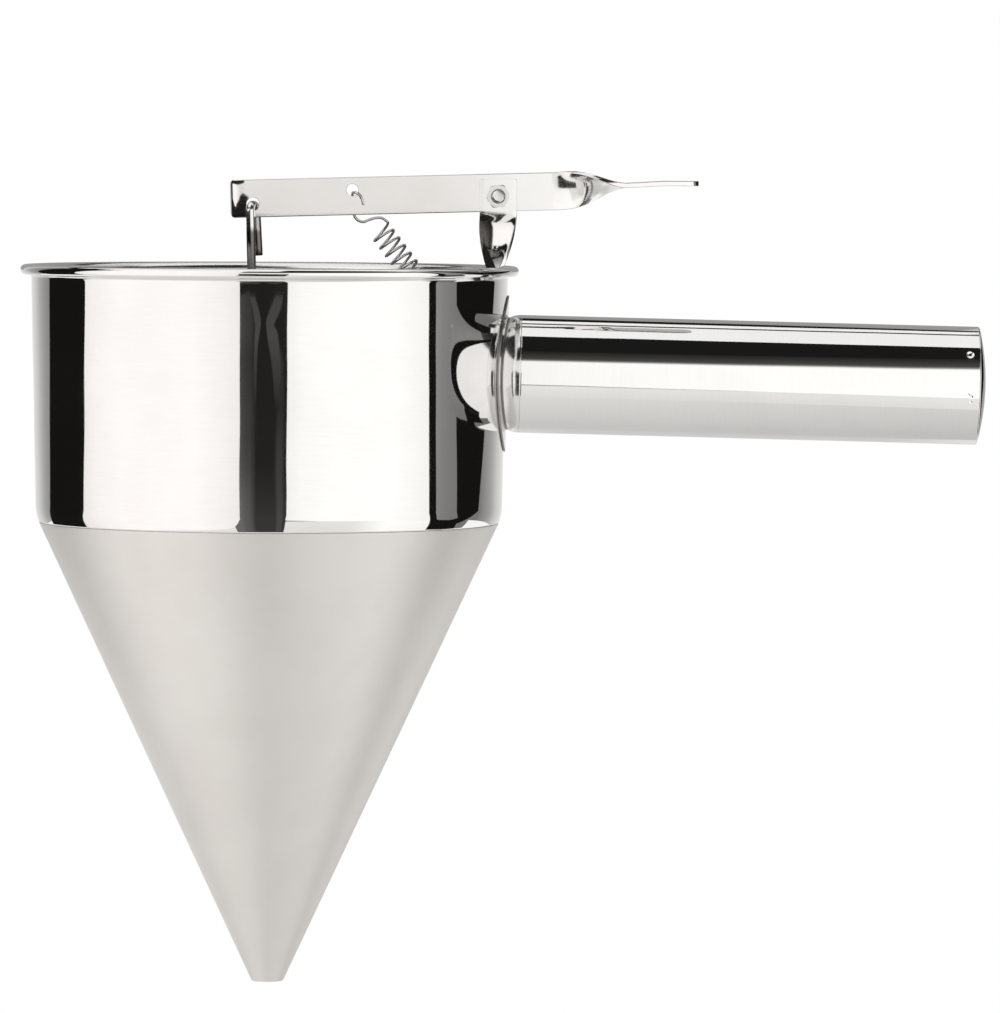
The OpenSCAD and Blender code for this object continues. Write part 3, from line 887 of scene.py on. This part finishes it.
def make_washers():
    parts = []
    for y in (PLATE_BACK, LEVER_BACK + 0.05):
        e = 0.08
        prof = [(1.6 + e, y), (3.1 - e, y), (3.1, y + e), (3.1, y + WASHER_T - e),
                (3.1 - e, y + WASHER_T), (1.6 + e, y + WASHER_T), (1.6, y + WASHER_T - e), (1.6, y + e)]
        parts.append(revolve("washer", prof, [FASTENER], segs=96, at=ON_PIVOT @ ALONG_Y,
                             support=0.1, angle=60))
    a, b = parts
    bm = bmesh.new()
    bm.from_mesh(a.data)
    bm.from_mesh(b.data)
    bm.to_mesh(a.data)
    bm.free()
    bpy.data.objects.remove(b, do_unlink=True)
    a.name = "pivot_plain_washers"
    smooth(a, 60)
    return a


finish_piece(make_washers(), "root", "fastener_steel", "pivot_washers")


# --------------------------------------------------------------------- lever

def in_lever(p):
    dx, dz = p[0] - PIVOT[0], p[1] - PIVOT[1]
    c, s = math.cos(SLOPE * RAD), math.sin(SLOPE * RAD)
    return (dx * c + dz * s, dz * c - dx * s)


def make_lever():
    h, t = 9.6, LEVER_T
    mid_y = LEVER_FRONT + t / 2
    mid_z, bend_at, bend = 0.94, -63.9, 75.0
    # The bend's outer face: a slow start, a tight turn and a short end.
    soft, first, tight, tail = 2.0, 5.5, 2.0, 0.45
    face = []
    x, y, b = bend_at, LEVER_FRONT, 0.0
    run = soft + tight * (bend - first) * RAD + tail
    step = 0.035
    k = 0
    while k * step <= run:
        q = k * step
        b = (first * q / soft if q < soft
             else min(bend, first + (q - soft) / tight / RAD))
        face.append((x, y, b))
        x -= step * math.cos(b * RAD)
        y += step * math.sin(b * RAD)
        k += 1
    left = face[-1][0]
    c = 0.9
    st = []
    for x, y, b in reversed(face):
        s, k = math.sin(b * RAD), math.cos(b * RAD)
        d = max(0.0, x - left)
        cut = c - math.sqrt(max(0.0, c * c - (c - d) ** 2)) if d < c else 0.0
        st.append(((x + s * t / 2, y + k * t / 2, mid_z), (0, 0, 1),
                   h / 2 - cut, (s, k, 0), t / 2))
    twist_from, twist_to, rise = 13.4, 32.9, 1.06
    x = bend_at + 0.4
    while x < twist_from - 0.3:
        st.append(((x, mid_y, mid_z), (0, 0, 1), h / 2, (0, 1, 0), t / 2))
        x += 4.0
    n = 72
    for i in range(n + 1):
        s = i / n
        x = twist_from + (twist_to - twist_from) * s
        a = 90 * ease(s) * RAD
        st.append(((x, mid_y, mid_z + rise * ease(s)), (0, -math.sin(a), math.cos(a)), h / 2,
                   (0, math.cos(a), math.sin(a)), t / 2))
    pad_len, c = 17.8, 3.0
    end = twist_to + pad_len
    top = mid_z + rise

    def arch(x):
        """The pad's slight crown along its length."""
        u = (x - twist_to) / pad_len
        return 0.22 * math.sin(math.pi * min(1.0, max(0.0, u))) ** 2

    x = twist_to + 0.6
    while x < end - c - 0.2:
        st.append(((x, mid_y, top + arch(x)), (0, -1, 0), h / 2, (0, 0, 1), t / 2))
        x += 1.0
    for i in range(15):
        a = (i / 14) * 88 * RAD
        x = end - c + c * math.sin(a)
        st.append(((x, mid_y, top + arch(x)), (0, -1, 0), h / 2 - c * (1 - math.cos(a)),
                   (0, 0, 1), t / 2))
    o = strip("lever_bar", st, [LEVER], corner=0.22, at=ON_LEVER)
    for at, r, ch in ((PIVOT, 1.55, 0.1), (HOOK, 1.65, 0.08), (EYE, 1.52, 0.1)):
        boolean(o, cutter(r, LEVER_FRONT, LEVER_BACK, at, chamfer=ch))
    return o


finish_piece(make_lever(), "lever", "lever_steel", "lever")


# ------------------------------------------------------------------- plunger

ROD_R, ROD_BEND, TAIL_Y, TAIL_LEN, TAIL_LEAN = 1.13, 1.6, 4.2, 12.8, 3.3
HOOK_DROP, HOOK_TURN = 0.3, 16.7
SPAN = TAIL_Y / math.cos(HOOK_TURN * RAD)
STOP_Z = 1.2
LEG_TOP = (HOOK[0] - TAIL_Y / 2 * math.tan(HOOK_TURN * RAD), HOOK[1] - HOOK_DROP)
ROD_LEAN = math.degrees(math.atan(-LEG_TOP[0] / LEG_TOP[1]))
LEG_LEN = (LEG_TOP[1] - STOP_Z - 2.8) / math.cos(ROD_LEAN * RAD)


def make_rod():
    leg = (Matrix.Translation((LEG_TOP[0], 0, LEG_TOP[1])) @ rotation_y(-ROD_LEAN)
           @ Matrix.Rotation(-HOOK_TURN * RAD, 4, "Z"))
    tail = leg @ rotation_y(ROD_LEAN - TAIL_LEAN)
    path, size = [], []

    def put(p, s=1.0):
        path.append(p)
        size.append(s)

    put(leg @ Vector((0, 0, -LEG_LEN)), 0.8)
    put(leg @ Vector((0, 0, -LEG_LEN + 0.25)))
    steps = 60
    for i in range(1, steps + 1):
        put(leg @ Vector((0, 0, -LEG_LEN + (LEG_LEN - ROD_BEND) * i / steps)))
    for i in range(1, 17):
        a = i / 16 * 90 * RAD
        put(leg @ Vector((0, ROD_BEND * (1 - math.cos(a)), -ROD_BEND * (1 - math.sin(a)))))
    put(leg @ Vector((0, SPAN / 2, 0)))
    for i in range(0, 17):
        a = i / 16 * 90 * RAD
        put(tail @ Vector((0, SPAN - ROD_BEND * (1 - math.sin(a)), -ROD_BEND * (1 - math.cos(a)))))
    for z in (-2.4, -5, -8, -11, -TAIL_LEN + 0.35):
        put(tail @ Vector((0, SPAN, z)))
    for d, s in ((0.2, 0.97), (0.08, 0.88), (0.0, 0.74)):
        put(tail @ Vector((0, SPAN, -TAIL_LEN + d)), s)
    return tube("plunger_wire", path, ROD_R, [ROD_WIRE], sides=48, taper=size)


finish_piece(make_rod(), "plunger", "wire_steel", "plunger_rod")


def make_stopper():
    gap, h = 0.35, 7.3
    base = TIP_R - (SHEET + gap) / math.cos(CONE_A * RAD)
    k = math.tan(CONE_A * RAD)

    def seat(z):
        return base + z * k

    z0, z1 = STOP_Z, STOP_Z + h
    prof = [(0, z0), (seat(z0) - 0.4, z0), (seat(z0) - 0.12, z0 + 0.1), (seat(z0 + 0.4), z0 + 0.4)]
    prof += [(seat(z1 - 0.3), z1 - 0.3), (seat(z1) - 0.02, z1)]
    prof += [(seat(z1), z1 + 0.25), (seat(z1), z1 + 0.7)]
    prof += [(seat(z1) - 0.8 * (1 - math.cos(a * RAD)), z1 + 0.8 + 0.8 * math.sin(a * RAD)) for a in (0, 20, 40, 60, 80)]
    prof += [(3.1, z1 + 1.75), (2.75, z1 + 2.2), (2.6, z1 + 2.8), (2.6, z1 + 5.95), (2.48, z1 + 6.25),
             (2.2, z1 + 6.4), (1.5, z1 + 6.4), (1.2, z1 + 6.2), (1.2, z1 + 6.0), (0, z1 + 6.0)]
    return revolve("outlet_plug", prof, [PLUG], segs=128, support=0.15, longest=2.0)


finish_piece(make_stopper(), "plunger", "stopper_steel", "plunger_stopper")


# -------------------------------------------------------------------- spring

EYE_LOW = Vector((54.2, 2.6, 155.5))


def make_anchor():
    """A bent tab: a leaf on the bracket's foot and an ear with the eye."""
    back = FOOT_FACE - PLATE_T
    y1 = EYE_LOW.y + 0.5
    z = EYE_LOW.z
    t = 1.0
    rb = 0.9
    xc, yc = back - t / 2 - 0.005, y1 - t / 2
    st = []

    def width(s):
        """Half the width: eight millimetres on the leaf, six on the ear."""
        return 4.0 - 1.0 * ease(s)

    for i in range(6):
        a = i / 5 * 90 * RAD
        st.append(((xc, yc - 5.5 + 0.8 * (1 - math.cos(a)), z), (0, 0, 1), 4.0 - 0.8 * (1 - math.sin(a)),
                   (1, 0, 0), t / 2))
    st.append(((xc, yc - rb - 1.6, z), (0, 0, 1), 4.0, (1, 0, 0), t / 2))
    st.append(((xc, yc - rb - 0.2, z), (0, 0, 1), width(0.1), (1, 0, 0), t / 2))
    for i in range(13):
        a = i / 12 * 90 * RAD
        st.append(((xc - rb * (1 - math.cos(a)), yc - rb * (1 - math.sin(a)), z), (0, 0, 1),
                   width(0.1 + 0.8 * i / 12), (math.cos(a), math.sin(a), 0), t / 2))
    ex = EYE_LOW.x
    for i in range(25):
        a = i / 24 * 90 * RAD
        x = ex - 3.0 * math.sin(a)
        st.append(((x, yc, z), (0, 0, 1), max(0.35, 3.0 * math.cos(a)), (0, 1, 0), t / 2))
    pivot = Matrix.Translation((back, 0, TWIST_END))
    at = pivot @ rotation_y(DRAFT) @ pivot.inverted()
    o = strip("spring_tab", st, [BRACKET], corner=0.16, at=at)
    hole = at @ Vector((ex, 0, z))
    boolean(o, cutter(1.2, y1 - t, y1, (hole.x, hole.z), chamfer=0.12, segs=64))
    return o


finish_piece(make_anchor(), "root", "bracket_steel", "spring_anchor")

COIL_FROM = Vector((27.62, 6.1, 190.44))
COIL_AXIS = (EYE_LOW - COIL_FROM).normalized()
_v = COIL_AXIS.cross(Vector((0, -1, 0)))
COIL_UP = -_v / _v.length
COIL_SIDE = COIL_AXIS.cross(COIL_UP)
COIL_R, COIL_PITCH, COIL_TURNS, WIRE_R = 2.75, 2.42, 15, 0.35
TURN_LEAN = 0.24


def coil_at(t):
    a = 2 * math.pi * t
    return (COIL_FROM + COIL_AXIS * (COIL_PITCH * t - TURN_LEAN * math.cos(a))
            + COIL_R * (COIL_UP * math.cos(a) - COIL_SIDE * math.sin(a)))


def catmull(points, steps):
    pts = [Vector(p) for p in points]
    out = []
    for i in range(1, len(pts) - 2):
        p0, p1, p2, p3 = pts[i - 1:i + 3]
        for s in range(steps):
            t = s / steps
            out.append(0.5 * ((2 * p1) + (p2 - p0) * t + (2 * p0 - 5 * p1 + 4 * p2 - p3) * t * t
                              + (3 * p1 - p0 - 3 * p2 + p3) * t ** 3))
    return out


def make_spring():
    top = [(23.6, 0.7, 196.7), (23.1, 0.65, 198.4), (22.4, 0.65, 199.4), (21.6, 0.95, 199.85),
           (20.95, 1.75, 199.8), (20.75, 2.7, 199.75), (20.7, 3.3, 199.4), (20.7, 3.75, 198.4),
           (20.7, 3.8, 196.4), (20.85, 3.85, 195), (21.3, 3.9, 193.8), (22.1, 4, 192.85),
           (23.5, 4.1, 192.45), (25, 4.5, 193), (26.6, 5, 193.45), (28.2, 5.6, 193.4)]
    end = COIL_FROM + COIL_AXIS * (EYE_LOW - COIL_FROM).length
    low = [end + Vector(p) for p in ((-2.9, -0.9, 3.9), (-1.9, -1.1, 2.4), (-0.9, -1.25, 1.0),
                                     (-0.2, -1.2, 0.1), (0.2, -0.6, -0.4), (0.3, 0.2, -0.4),
                                     (0, 0.9, -0.1), (-0.9, 1.15, 1), (-1.9, 1.2, 2.2))]
    first = [Vector(top[0]) * 2 - Vector(top[1])] + top + [coil_at(0), coil_at(0.08)]
    path = catmull(first, 6)
    n = COIL_TURNS * 32
    path += [coil_at(i / 32) for i in range(n + 1)]
    last = [coil_at(COIL_TURNS - 0.08), coil_at(COIL_TURNS)] + low + [low[-1] * 2 - low[-2]]
    path += catmull(last, 6)[1:] + [low[-1]]
    clean = [path[0]]
    for p in path[1:]:
        if (p - clean[-1]).length > 0.05:
            clean.append(p)
    size = [1.0] * len(clean)
    size[0] = size[-1] = 0.8
    return tube("coil_spring", clean, WIRE_R, [WIRE], sides=12, taper=size)


spring = make_spring()
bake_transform(spring)
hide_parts("return_spring")


# --------------------------------------------------------------------- stage

def emission(name, radiance, tint=(1, 1, 1)):
    """A plain glowing card."""
    g = Nodes(name)
    e = g.node("ShaderNodeEmission", {"Color": (*tint, 1), "Strength": radiance})
    g.node("ShaderNodeOutputMaterial", {"Surface": e.outputs[0]})
    return g.mat


def glow(name, tint, top, **fades):
    """A glowing card that fades with its place. Each fade lists (place,
    part of the radiance top); its name is x, y or z in metres, az in degrees
    from -Y, or off, the same without its sign."""
    g = Nodes(name)
    where = g.node("ShaderNodeTexCoord").outputs["Object"]
    split = g.node("ShaderNodeSeparateXYZ", {"Vector": where}).outputs
    total = None
    for key, stops in fades.items():
        if key in ("az", "off"):
            back = g.math("MULTIPLY", split["Y"], -1.0)
            place = g.math("MULTIPLY", g.math("ARCTAN2", split["X"], back), 180 / math.pi)
            if key == "off":
                place = g.math("ABSOLUTE", place)
        else:
            place = split[key.upper()]
        lo, hi = stops[0][0], stops[-1][0]
        where_in = g.spread(place, lo, hi, 0.0, 1.0)
        part = g.tones(where_in, [((q - lo) / (hi - lo), (v, v, v)) for q, v in stops])
        total = part if total is None else g.math("MULTIPLY", total, part)
    total = g.math("MULTIPLY", total, top)
    e = g.node("ShaderNodeEmission", {"Color": (*tint, 1), "Strength": total})
    g.node("ShaderNodeOutputMaterial", {"Surface": e.outputs[0]})
    return g.mat


def only(o, camera=False, glossy=True):
    o.visible_camera = camera
    o.visible_glossy = glossy
    o.visible_diffuse = glossy
    o.visible_transmission = False
    o.visible_shadow = False
    o.visible_volume_scatter = False
    return o


STUDIO_R = 320.0


def wall_card(name, left, right, low, high, mat, r=STUDIO_R, centre=(0.0, 0.0), step=0.5, rows=16):
    """A card on the studio's round wall. Azimuth 0 is towards -Y. left and
    right are azimuths, or functions of the height; low and high are heights
    in millimetres, or functions of the azimuth."""
    def of(v):
        return v if callable(v) else (lambda q: v)
    left, right, low, high = of(left), of(right), of(low), of(high)
    mid = 132.0
    n = max(2, int(abs(right(mid) - left(mid)) / step))
    verts, faces = [], []
    for i in range(n + 1):
        u = i / n
        a_mid = left(mid) + (right(mid) - left(mid)) * u
        z0, z1 = low(a_mid), high(a_mid)
        for j in range(rows + 1):
            z = z0 + (z1 - z0) * j / rows
            a = left(z) + (right(z) - left(z)) * u
            verts.append(((centre[0] + r * math.sin(a * RAD)) * MM,
                          (centre[1] - r * math.cos(a * RAD)) * MM, z * MM))
    for i in range(n):
        for j in range(rows):
            a = i * (rows + 1) + j
            faces.append((a, a + rows + 1, a + rows + 2, a + 1))
    me = bpy.data.meshes.new(name)
    me.from_pydata(verts, [], faces)
    me.materials.append(mat)
    o = bpy.data.objects.new(name, me)
    SCENE.collection.objects.link(o)
    return only(o)


def flat_card(name, x0, x1, y0, y1, z, mat, camera=False, glossy=True):
    me = bpy.data.meshes.new(name)
    me.from_pydata([(x0 * MM, y0 * MM, z * MM), (x1 * MM, y0 * MM, z * MM),
                    (x1 * MM, y1 * MM, z * MM), (x0 * MM, y1 * MM, z * MM)], [], [(0, 1, 2, 3)])
    me.materials.append(mat)
    o = bpy.data.objects.new(name, me)
    SCENE.collection.objects.link(o)
    return only(o, camera, glossy)


def through(points):
    """A straight-line curve through (azimuth, height) points."""
    def f(a):
        if a <= points[0][0]:
            return points[0][1]
        for (a0, z0), (a1, z1) in zip(points, points[1:]):
            if a <= a1:
                return z0 + (z1 - z0) * (a - a0) / (a1 - a0)
        return points[-1][1]
    return f


def edge(z_a, az_a, z_b, az_b):
    """A straight edge: azimuth as a function of the height."""
    return lambda z: az_a + (az_b - az_a) * (z - z_a) / (z_b - z_a)


LEFT_WHITE = glow("card_left", (1.0, 0.972, 0.952), 1.22,
                  az=[(-92, 0.84), (-84, 0.93), (-70, 1.0), (-32, 1.0), (-18, 0.92), (-11, 0.86)])
RIGHT_WHITE = glow("card_right", (1.0, 0.99, 0.972), 1.24,
                   az=[(9, 0.88), (16, 0.96), (30, 1.0), (58, 1.0), (78, 0.90)],
                   z=[(0.294, 1.0), (0.306, 0.85), (0.322, 0.24), (0.342, 0.06), (0.400, 0.035), (0.480, 0.015)])
RIGHT_LOW = glow("card_right_low", (1.0, 0.985, 0.965), 1.24,
                 az=[(9, 0.77), (22, 0.75), (41, 0.78), (60, 1.0), (84, 0.93)],
                 z=[(-0.13, 0.93), (-0.05, 0.96), (0.01, 1.0), (0.05, 1.0)])
OVER_SLOT = emission("card_over_slot", 0.985, (1.0, 0.985, 0.965))
GREY_STRIP = glow("card_grey", (1.0, 0.98, 0.975), 0.32, az=[(81.6, 1.0), (87, 0.84), (93, 0.74), (99, 0.70)])
SLOT_LEFT = glow("slot_left", (1.0, 0.965, 0.95), 0.170,
                 z=[(0.096, 1.0), (0.102, 0.88), (0.111, 0.62), (0.120, 0.48), (0.128, 0.46), (0.139, 0.36),
                    (0.148, 0.46), (0.160, 0.42)],
                 az=[(-14, 1.0), (-10.6, 1.0), (-9.2, 0.80), (-7.9, 0.70), (-6.6, 0.66), (-5.3, 0.46), (-3.9, 0.24)])
SLOT_RIGHT = glow("slot_right", (1.0, 0.965, 0.95), 0.080,
                  z=[(0.096, 1.0), (0.102, 0.85), (0.111, 0.72), (0.120, 0.55), (0.128, 0.42), (0.139, 0.44)],
                  az=[(4.2, 0.45), (5.8, 1.0), (7.4, 0.95), (8.6, 0.45)])
SLOT_ARC = glow("slot_arc", (1.0, 0.96, 0.94), 0.078, z=[(0.128, 0.3), (0.137, 0.7), (0.146, 1.0), (0.158, 0.9)])
SLOT_BACK = glow("slot_backing", (1.0, 0.955, 0.92), 0.046,
                 z=[(0.085, 1.0), (0.097, 0.90), (0.104, 0.66), (0.112, 0.42), (0.160, 0.36)])
LINE_GREY = emission("card_line", 0.34)
BLACK = emission("card_black", 0.0085, (1.0, 0.92, 0.86))
BACK = glow("card_back", (1.0, 0.995, 0.985), 1.0,
            off=[(119, 0.21), (124.6, 0.30), (130, 0.37), (135, 0.45), (139, 0.55), (143, 0.64),
                 (147, 0.70), (152, 0.74), (160, 0.83), (180, 0.85)])
BACK_TOP = glow("card_back_top", (1.0, 0.995, 0.985), 0.70, az=[(97, 0.4), (108, 0.9), (128, 1.0), (138, 0.8)])
BACK_HIGH = emission("card_back_high", 0.36, (1.0, 0.99, 0.98))
TOP = emission("card_top", 1.06, (1.0, 0.99, 0.98))
FLOOR = glow("card_floor", (1.0, 0.985, 0.965), 1.42,
             x=[(-0.60, 0.87), (-0.30, 0.82), (-0.15, 0.72), (0.0, 0.69), (0.065, 0.665),
                (0.20, 0.60), (0.245, 0.74), (0.32, 1.0), (0.60, 1.0)],
             y=[(-0.60, 1.0), (-0.30, 0.90), (-0.20, 0.87), (-0.10, 0.83), (0.0, 0.78),
                (0.10, 0.73), (0.20, 0.72), (0.50, 0.90)])
BACK_LOW = emission("card_back_low", 0.98, (1.0, 0.99, 0.975))
BACK_LOW_R = glow("card_back_low_right", (1.0, 0.99, 0.975), 1.12, az=[(112, 1.0), (134, 1.0), (148, 0.62), (166, 0.62), (180, 0.875)])

# Left panel, with its lower corner rounded towards the slot.
wall_card("panel_left", -97, -11.1,
          through([(-97, -36), (-92, -42), (-88, -52), (-85, -58), (-75, -66), (-65, -70), (-45, -73),
                   (-30, -74), (-22, -68), (-17.5, -55), (-14.5, -30), (-12.5, 10), (-11.3, 60)]), 600, LEFT_WHITE)
flat_card("top_left", -380, 40, -320, -80, 599, TOP)
# Right panel: its foot is higher in front of the handle.
SLOT_EDGE = through([(90, 9.2), (96, 9.35), (102, 9.6), (119, 9.6), (130, 9.35), (144, 9.4), (158, 9.6)])
wall_card("panel_right", SLOT_EDGE, 84, through([(9, 52), (25, 44.5), (43, 44)]), 480, RIGHT_WHITE)
wall_card("panel_right_low", SLOT_EDGE, 84, through([(9, -129), (37, -110), (55, -86), (78, -52), (84, -46)]),
          through([(9, 40), (25, 44.4), (43, 43.9)]), RIGHT_LOW)
wall_card("handle_line", 9.7, 27, 34, 58, LINE_GREY, r=321.5)
wall_card("panel_over_slot", -2.5, 9.6, 177, 320, OVER_SLOT)
wall_card("panel_over_slot_left", -11.3, -2.5, through([(-11.3, 193), (-2.5, 189)]), 320, OVER_SLOT)
# What stands behind the slot.
wall_card("slot_backing_card", -14, 9.9, -129, 195, SLOT_BACK, r=322)
wall_card("slot_left", -14, -3.9, -100, through([(-10.6, 160), (-7, 161), (-3.9, 150)]), SLOT_LEFT, r=321, step=0.2)
wall_card("slot_right", 4.2, 8.6, -100, through([(4.2, 128), (5.8, 141), (7.0, 143), (8.6, 132)]), SLOT_RIGHT, r=321, step=0.2)
wall_card("slot_left_arc", through([(128, -5.2), (137, -5.0), (144, -4.7), (151, -4.3), (156, -5.3), (160, -6.8)]),
          through([(128, -4.2), (137, -3.7), (144, -3.1), (151, -1.9), (154, -2.0), (157, -3.0), (160, -4.6)]),
          128, 160, SLOT_ARC, r=320.6, step=0.1, rows=24)
wall_card("slot_right_arc", through([(128, 4.4), (137, 3.0), (144, 1.3), (148, 0.7), (152, 0.3), (155, 1.1), (160, 4.2)]),
          through([(128, 5.9), (137, 6.6), (144, 6.0), (148, 5.4), (151, 3.6), (154, 5.2), (157, 7.0), (160, 7.6)]),
          128, 160, SLOT_ARC, r=320.6, step=0.1, rows=24)
# Black flags on both sides, and a grey strip between the right ones.
wall_card("flag_left", edge(163, -121.8, 106, -125.7), edge(163, -90.0, 106, -93.1),
          through([(-124, 34), (-120, 15), (-99, -25), (-92, -25)]), 430, BLACK, r=316)
wall_card("flag_right", edge(163, 77.3, 106, 79.8), edge(163, 81.6, 100, 84.5), -46, 430, BLACK, r=316)
wall_card("strip_grey", edge(163, 81.6, 100, 84.5), edge(164, 95.3, 106, 98.8),
          through([(82, 60), (84, 49), (91, 48), (95, 56), (99, 70)]), 330, GREY_STRIP, r=317)
wall_card("flag_strip_foot", edge(163, 81.6, 100, 84.5), edge(164, 95.3, 106, 98.8), -46, 72, BLACK, r=318)
wall_card("flag_far_right", edge(164, 95.3, 106, 98.8), edge(166, 131, 103, 119), through([(96, -46), (124, 4)]),
          through([(96, 330), (106, 235), (130, 225)]), BLACK, r=316)
# Small flags close to the lever's bent end and beside the bracket's twist.
wall_card("flag_end_low", -92, 9, 186,
          through([(-92, 198.0), (-78, 197.4), (-61, 196.4), (-45, 195.7), (-31, 196.3), (-10.3, 197.4),
                   (-6, 198.9), (-1, 199.5), (4, 199.3), (9, 198.6)]), BLACK, r=14, centre=(-8.1, 3.44), rows=4)
wall_card("flag_end_high", -98, 3, through([(-98, 202.1), (-61, 202.0), (-31, 201.8), (-9, 201.6), (-5, 202.0),
                                            (0, 202.6), (3, 203.0)]),
          208, SLOT_BACK, r=14, centre=(-8.1, 3.44), rows=4)
wall_card("flag_bracket", -170, -12, 171,
          through([(-170, 182.0), (-106, 183.4), (-70, 185.0), (-34, 186.6), (-12, 188.5)]),
          SLOT_BACK, r=10, centre=(56.8, 0.5), rows=4)
# Background behind the object.
wall_card("back_left", -180, -117, -130, 406, BACK, r=321)
wall_card("back_right", 97, 180, -130, 406, BACK, r=321)
wall_card("back_low_left", -180, -112, -130, 50, BACK_LOW, r=318.5)
wall_card("back_low_right", 112, 180, -130, 50, BACK_LOW_R, r=318.5)
wall_card("back_top_right", 97, 138, 300, 600, BACK_TOP, r=322)
wall_card("back_high", 141, 214, 178, 406, BACK_HIGH, r=319)
flat_card("top_front", -380, 480, -80, 205, 600, TOP)
flat_card("top_back", -380, 480, 245, 362, 600, TOP)
flat_card("floor_light", -2600, 2600, -2600, 2600, -130, FLOOR)

# What the camera sees: a plain pale floor that runs into a plain backdrop.
PALE = emission("stage_pale", 1.0)
flat_card("floor", -9000, 9000, -9000, 9000, -130.5, PALE, camera=True, glossy=False)


def dome():
    me = bpy.data.meshes.new("backdrop")
    bm = bmesh.new()
    bmesh.ops.create_uvsphere(bm, u_segments=48, v_segments=24, radius=12.0)
    bm.to_mesh(me)
    bm.free()
    me.materials.append(PALE)
    o = bpy.data.objects.new("backdrop", me)
    SCENE.collection.objects.link(o)
    return only(o, camera=True, glossy=False)


dome()

world = bpy.data.worlds.new("studio")
SCENE.world = world
world.use_nodes = True
world.node_tree.nodes["Background"].inputs["Color"].default_value = (1.0, 0.98, 0.97, 1)
world.node_tree.nodes["Background"].inputs["Strength"].default_value = 0.012

SCENE.view_settings.view_transform = "Standard"
SCENE.view_settings.look = "None"

# -------------------------------------------------------------------- camera

cam_data = bpy.data.cameras.new("camera")
cam = bpy.data.objects.new("camera", cam_data)
SCENE.collection.objects.link(cam)
SCENE.camera = cam
cam_data.sensor_width = 36.0
cam_data.lens = 257.3
cam_data.clip_end = 60.0
cam.location = (0.05845, -1.830, 0.2089)
cam.rotation_mode = "XYZ"
pitch, roll = -2.76, 0.3
cam.matrix_world = (Matrix.Translation(cam.location)
                    @ Matrix.Rotation((90 + pitch) * RAD, 4, "X")
                    @ Matrix.Rotation(roll * RAD, 4, "Z"))
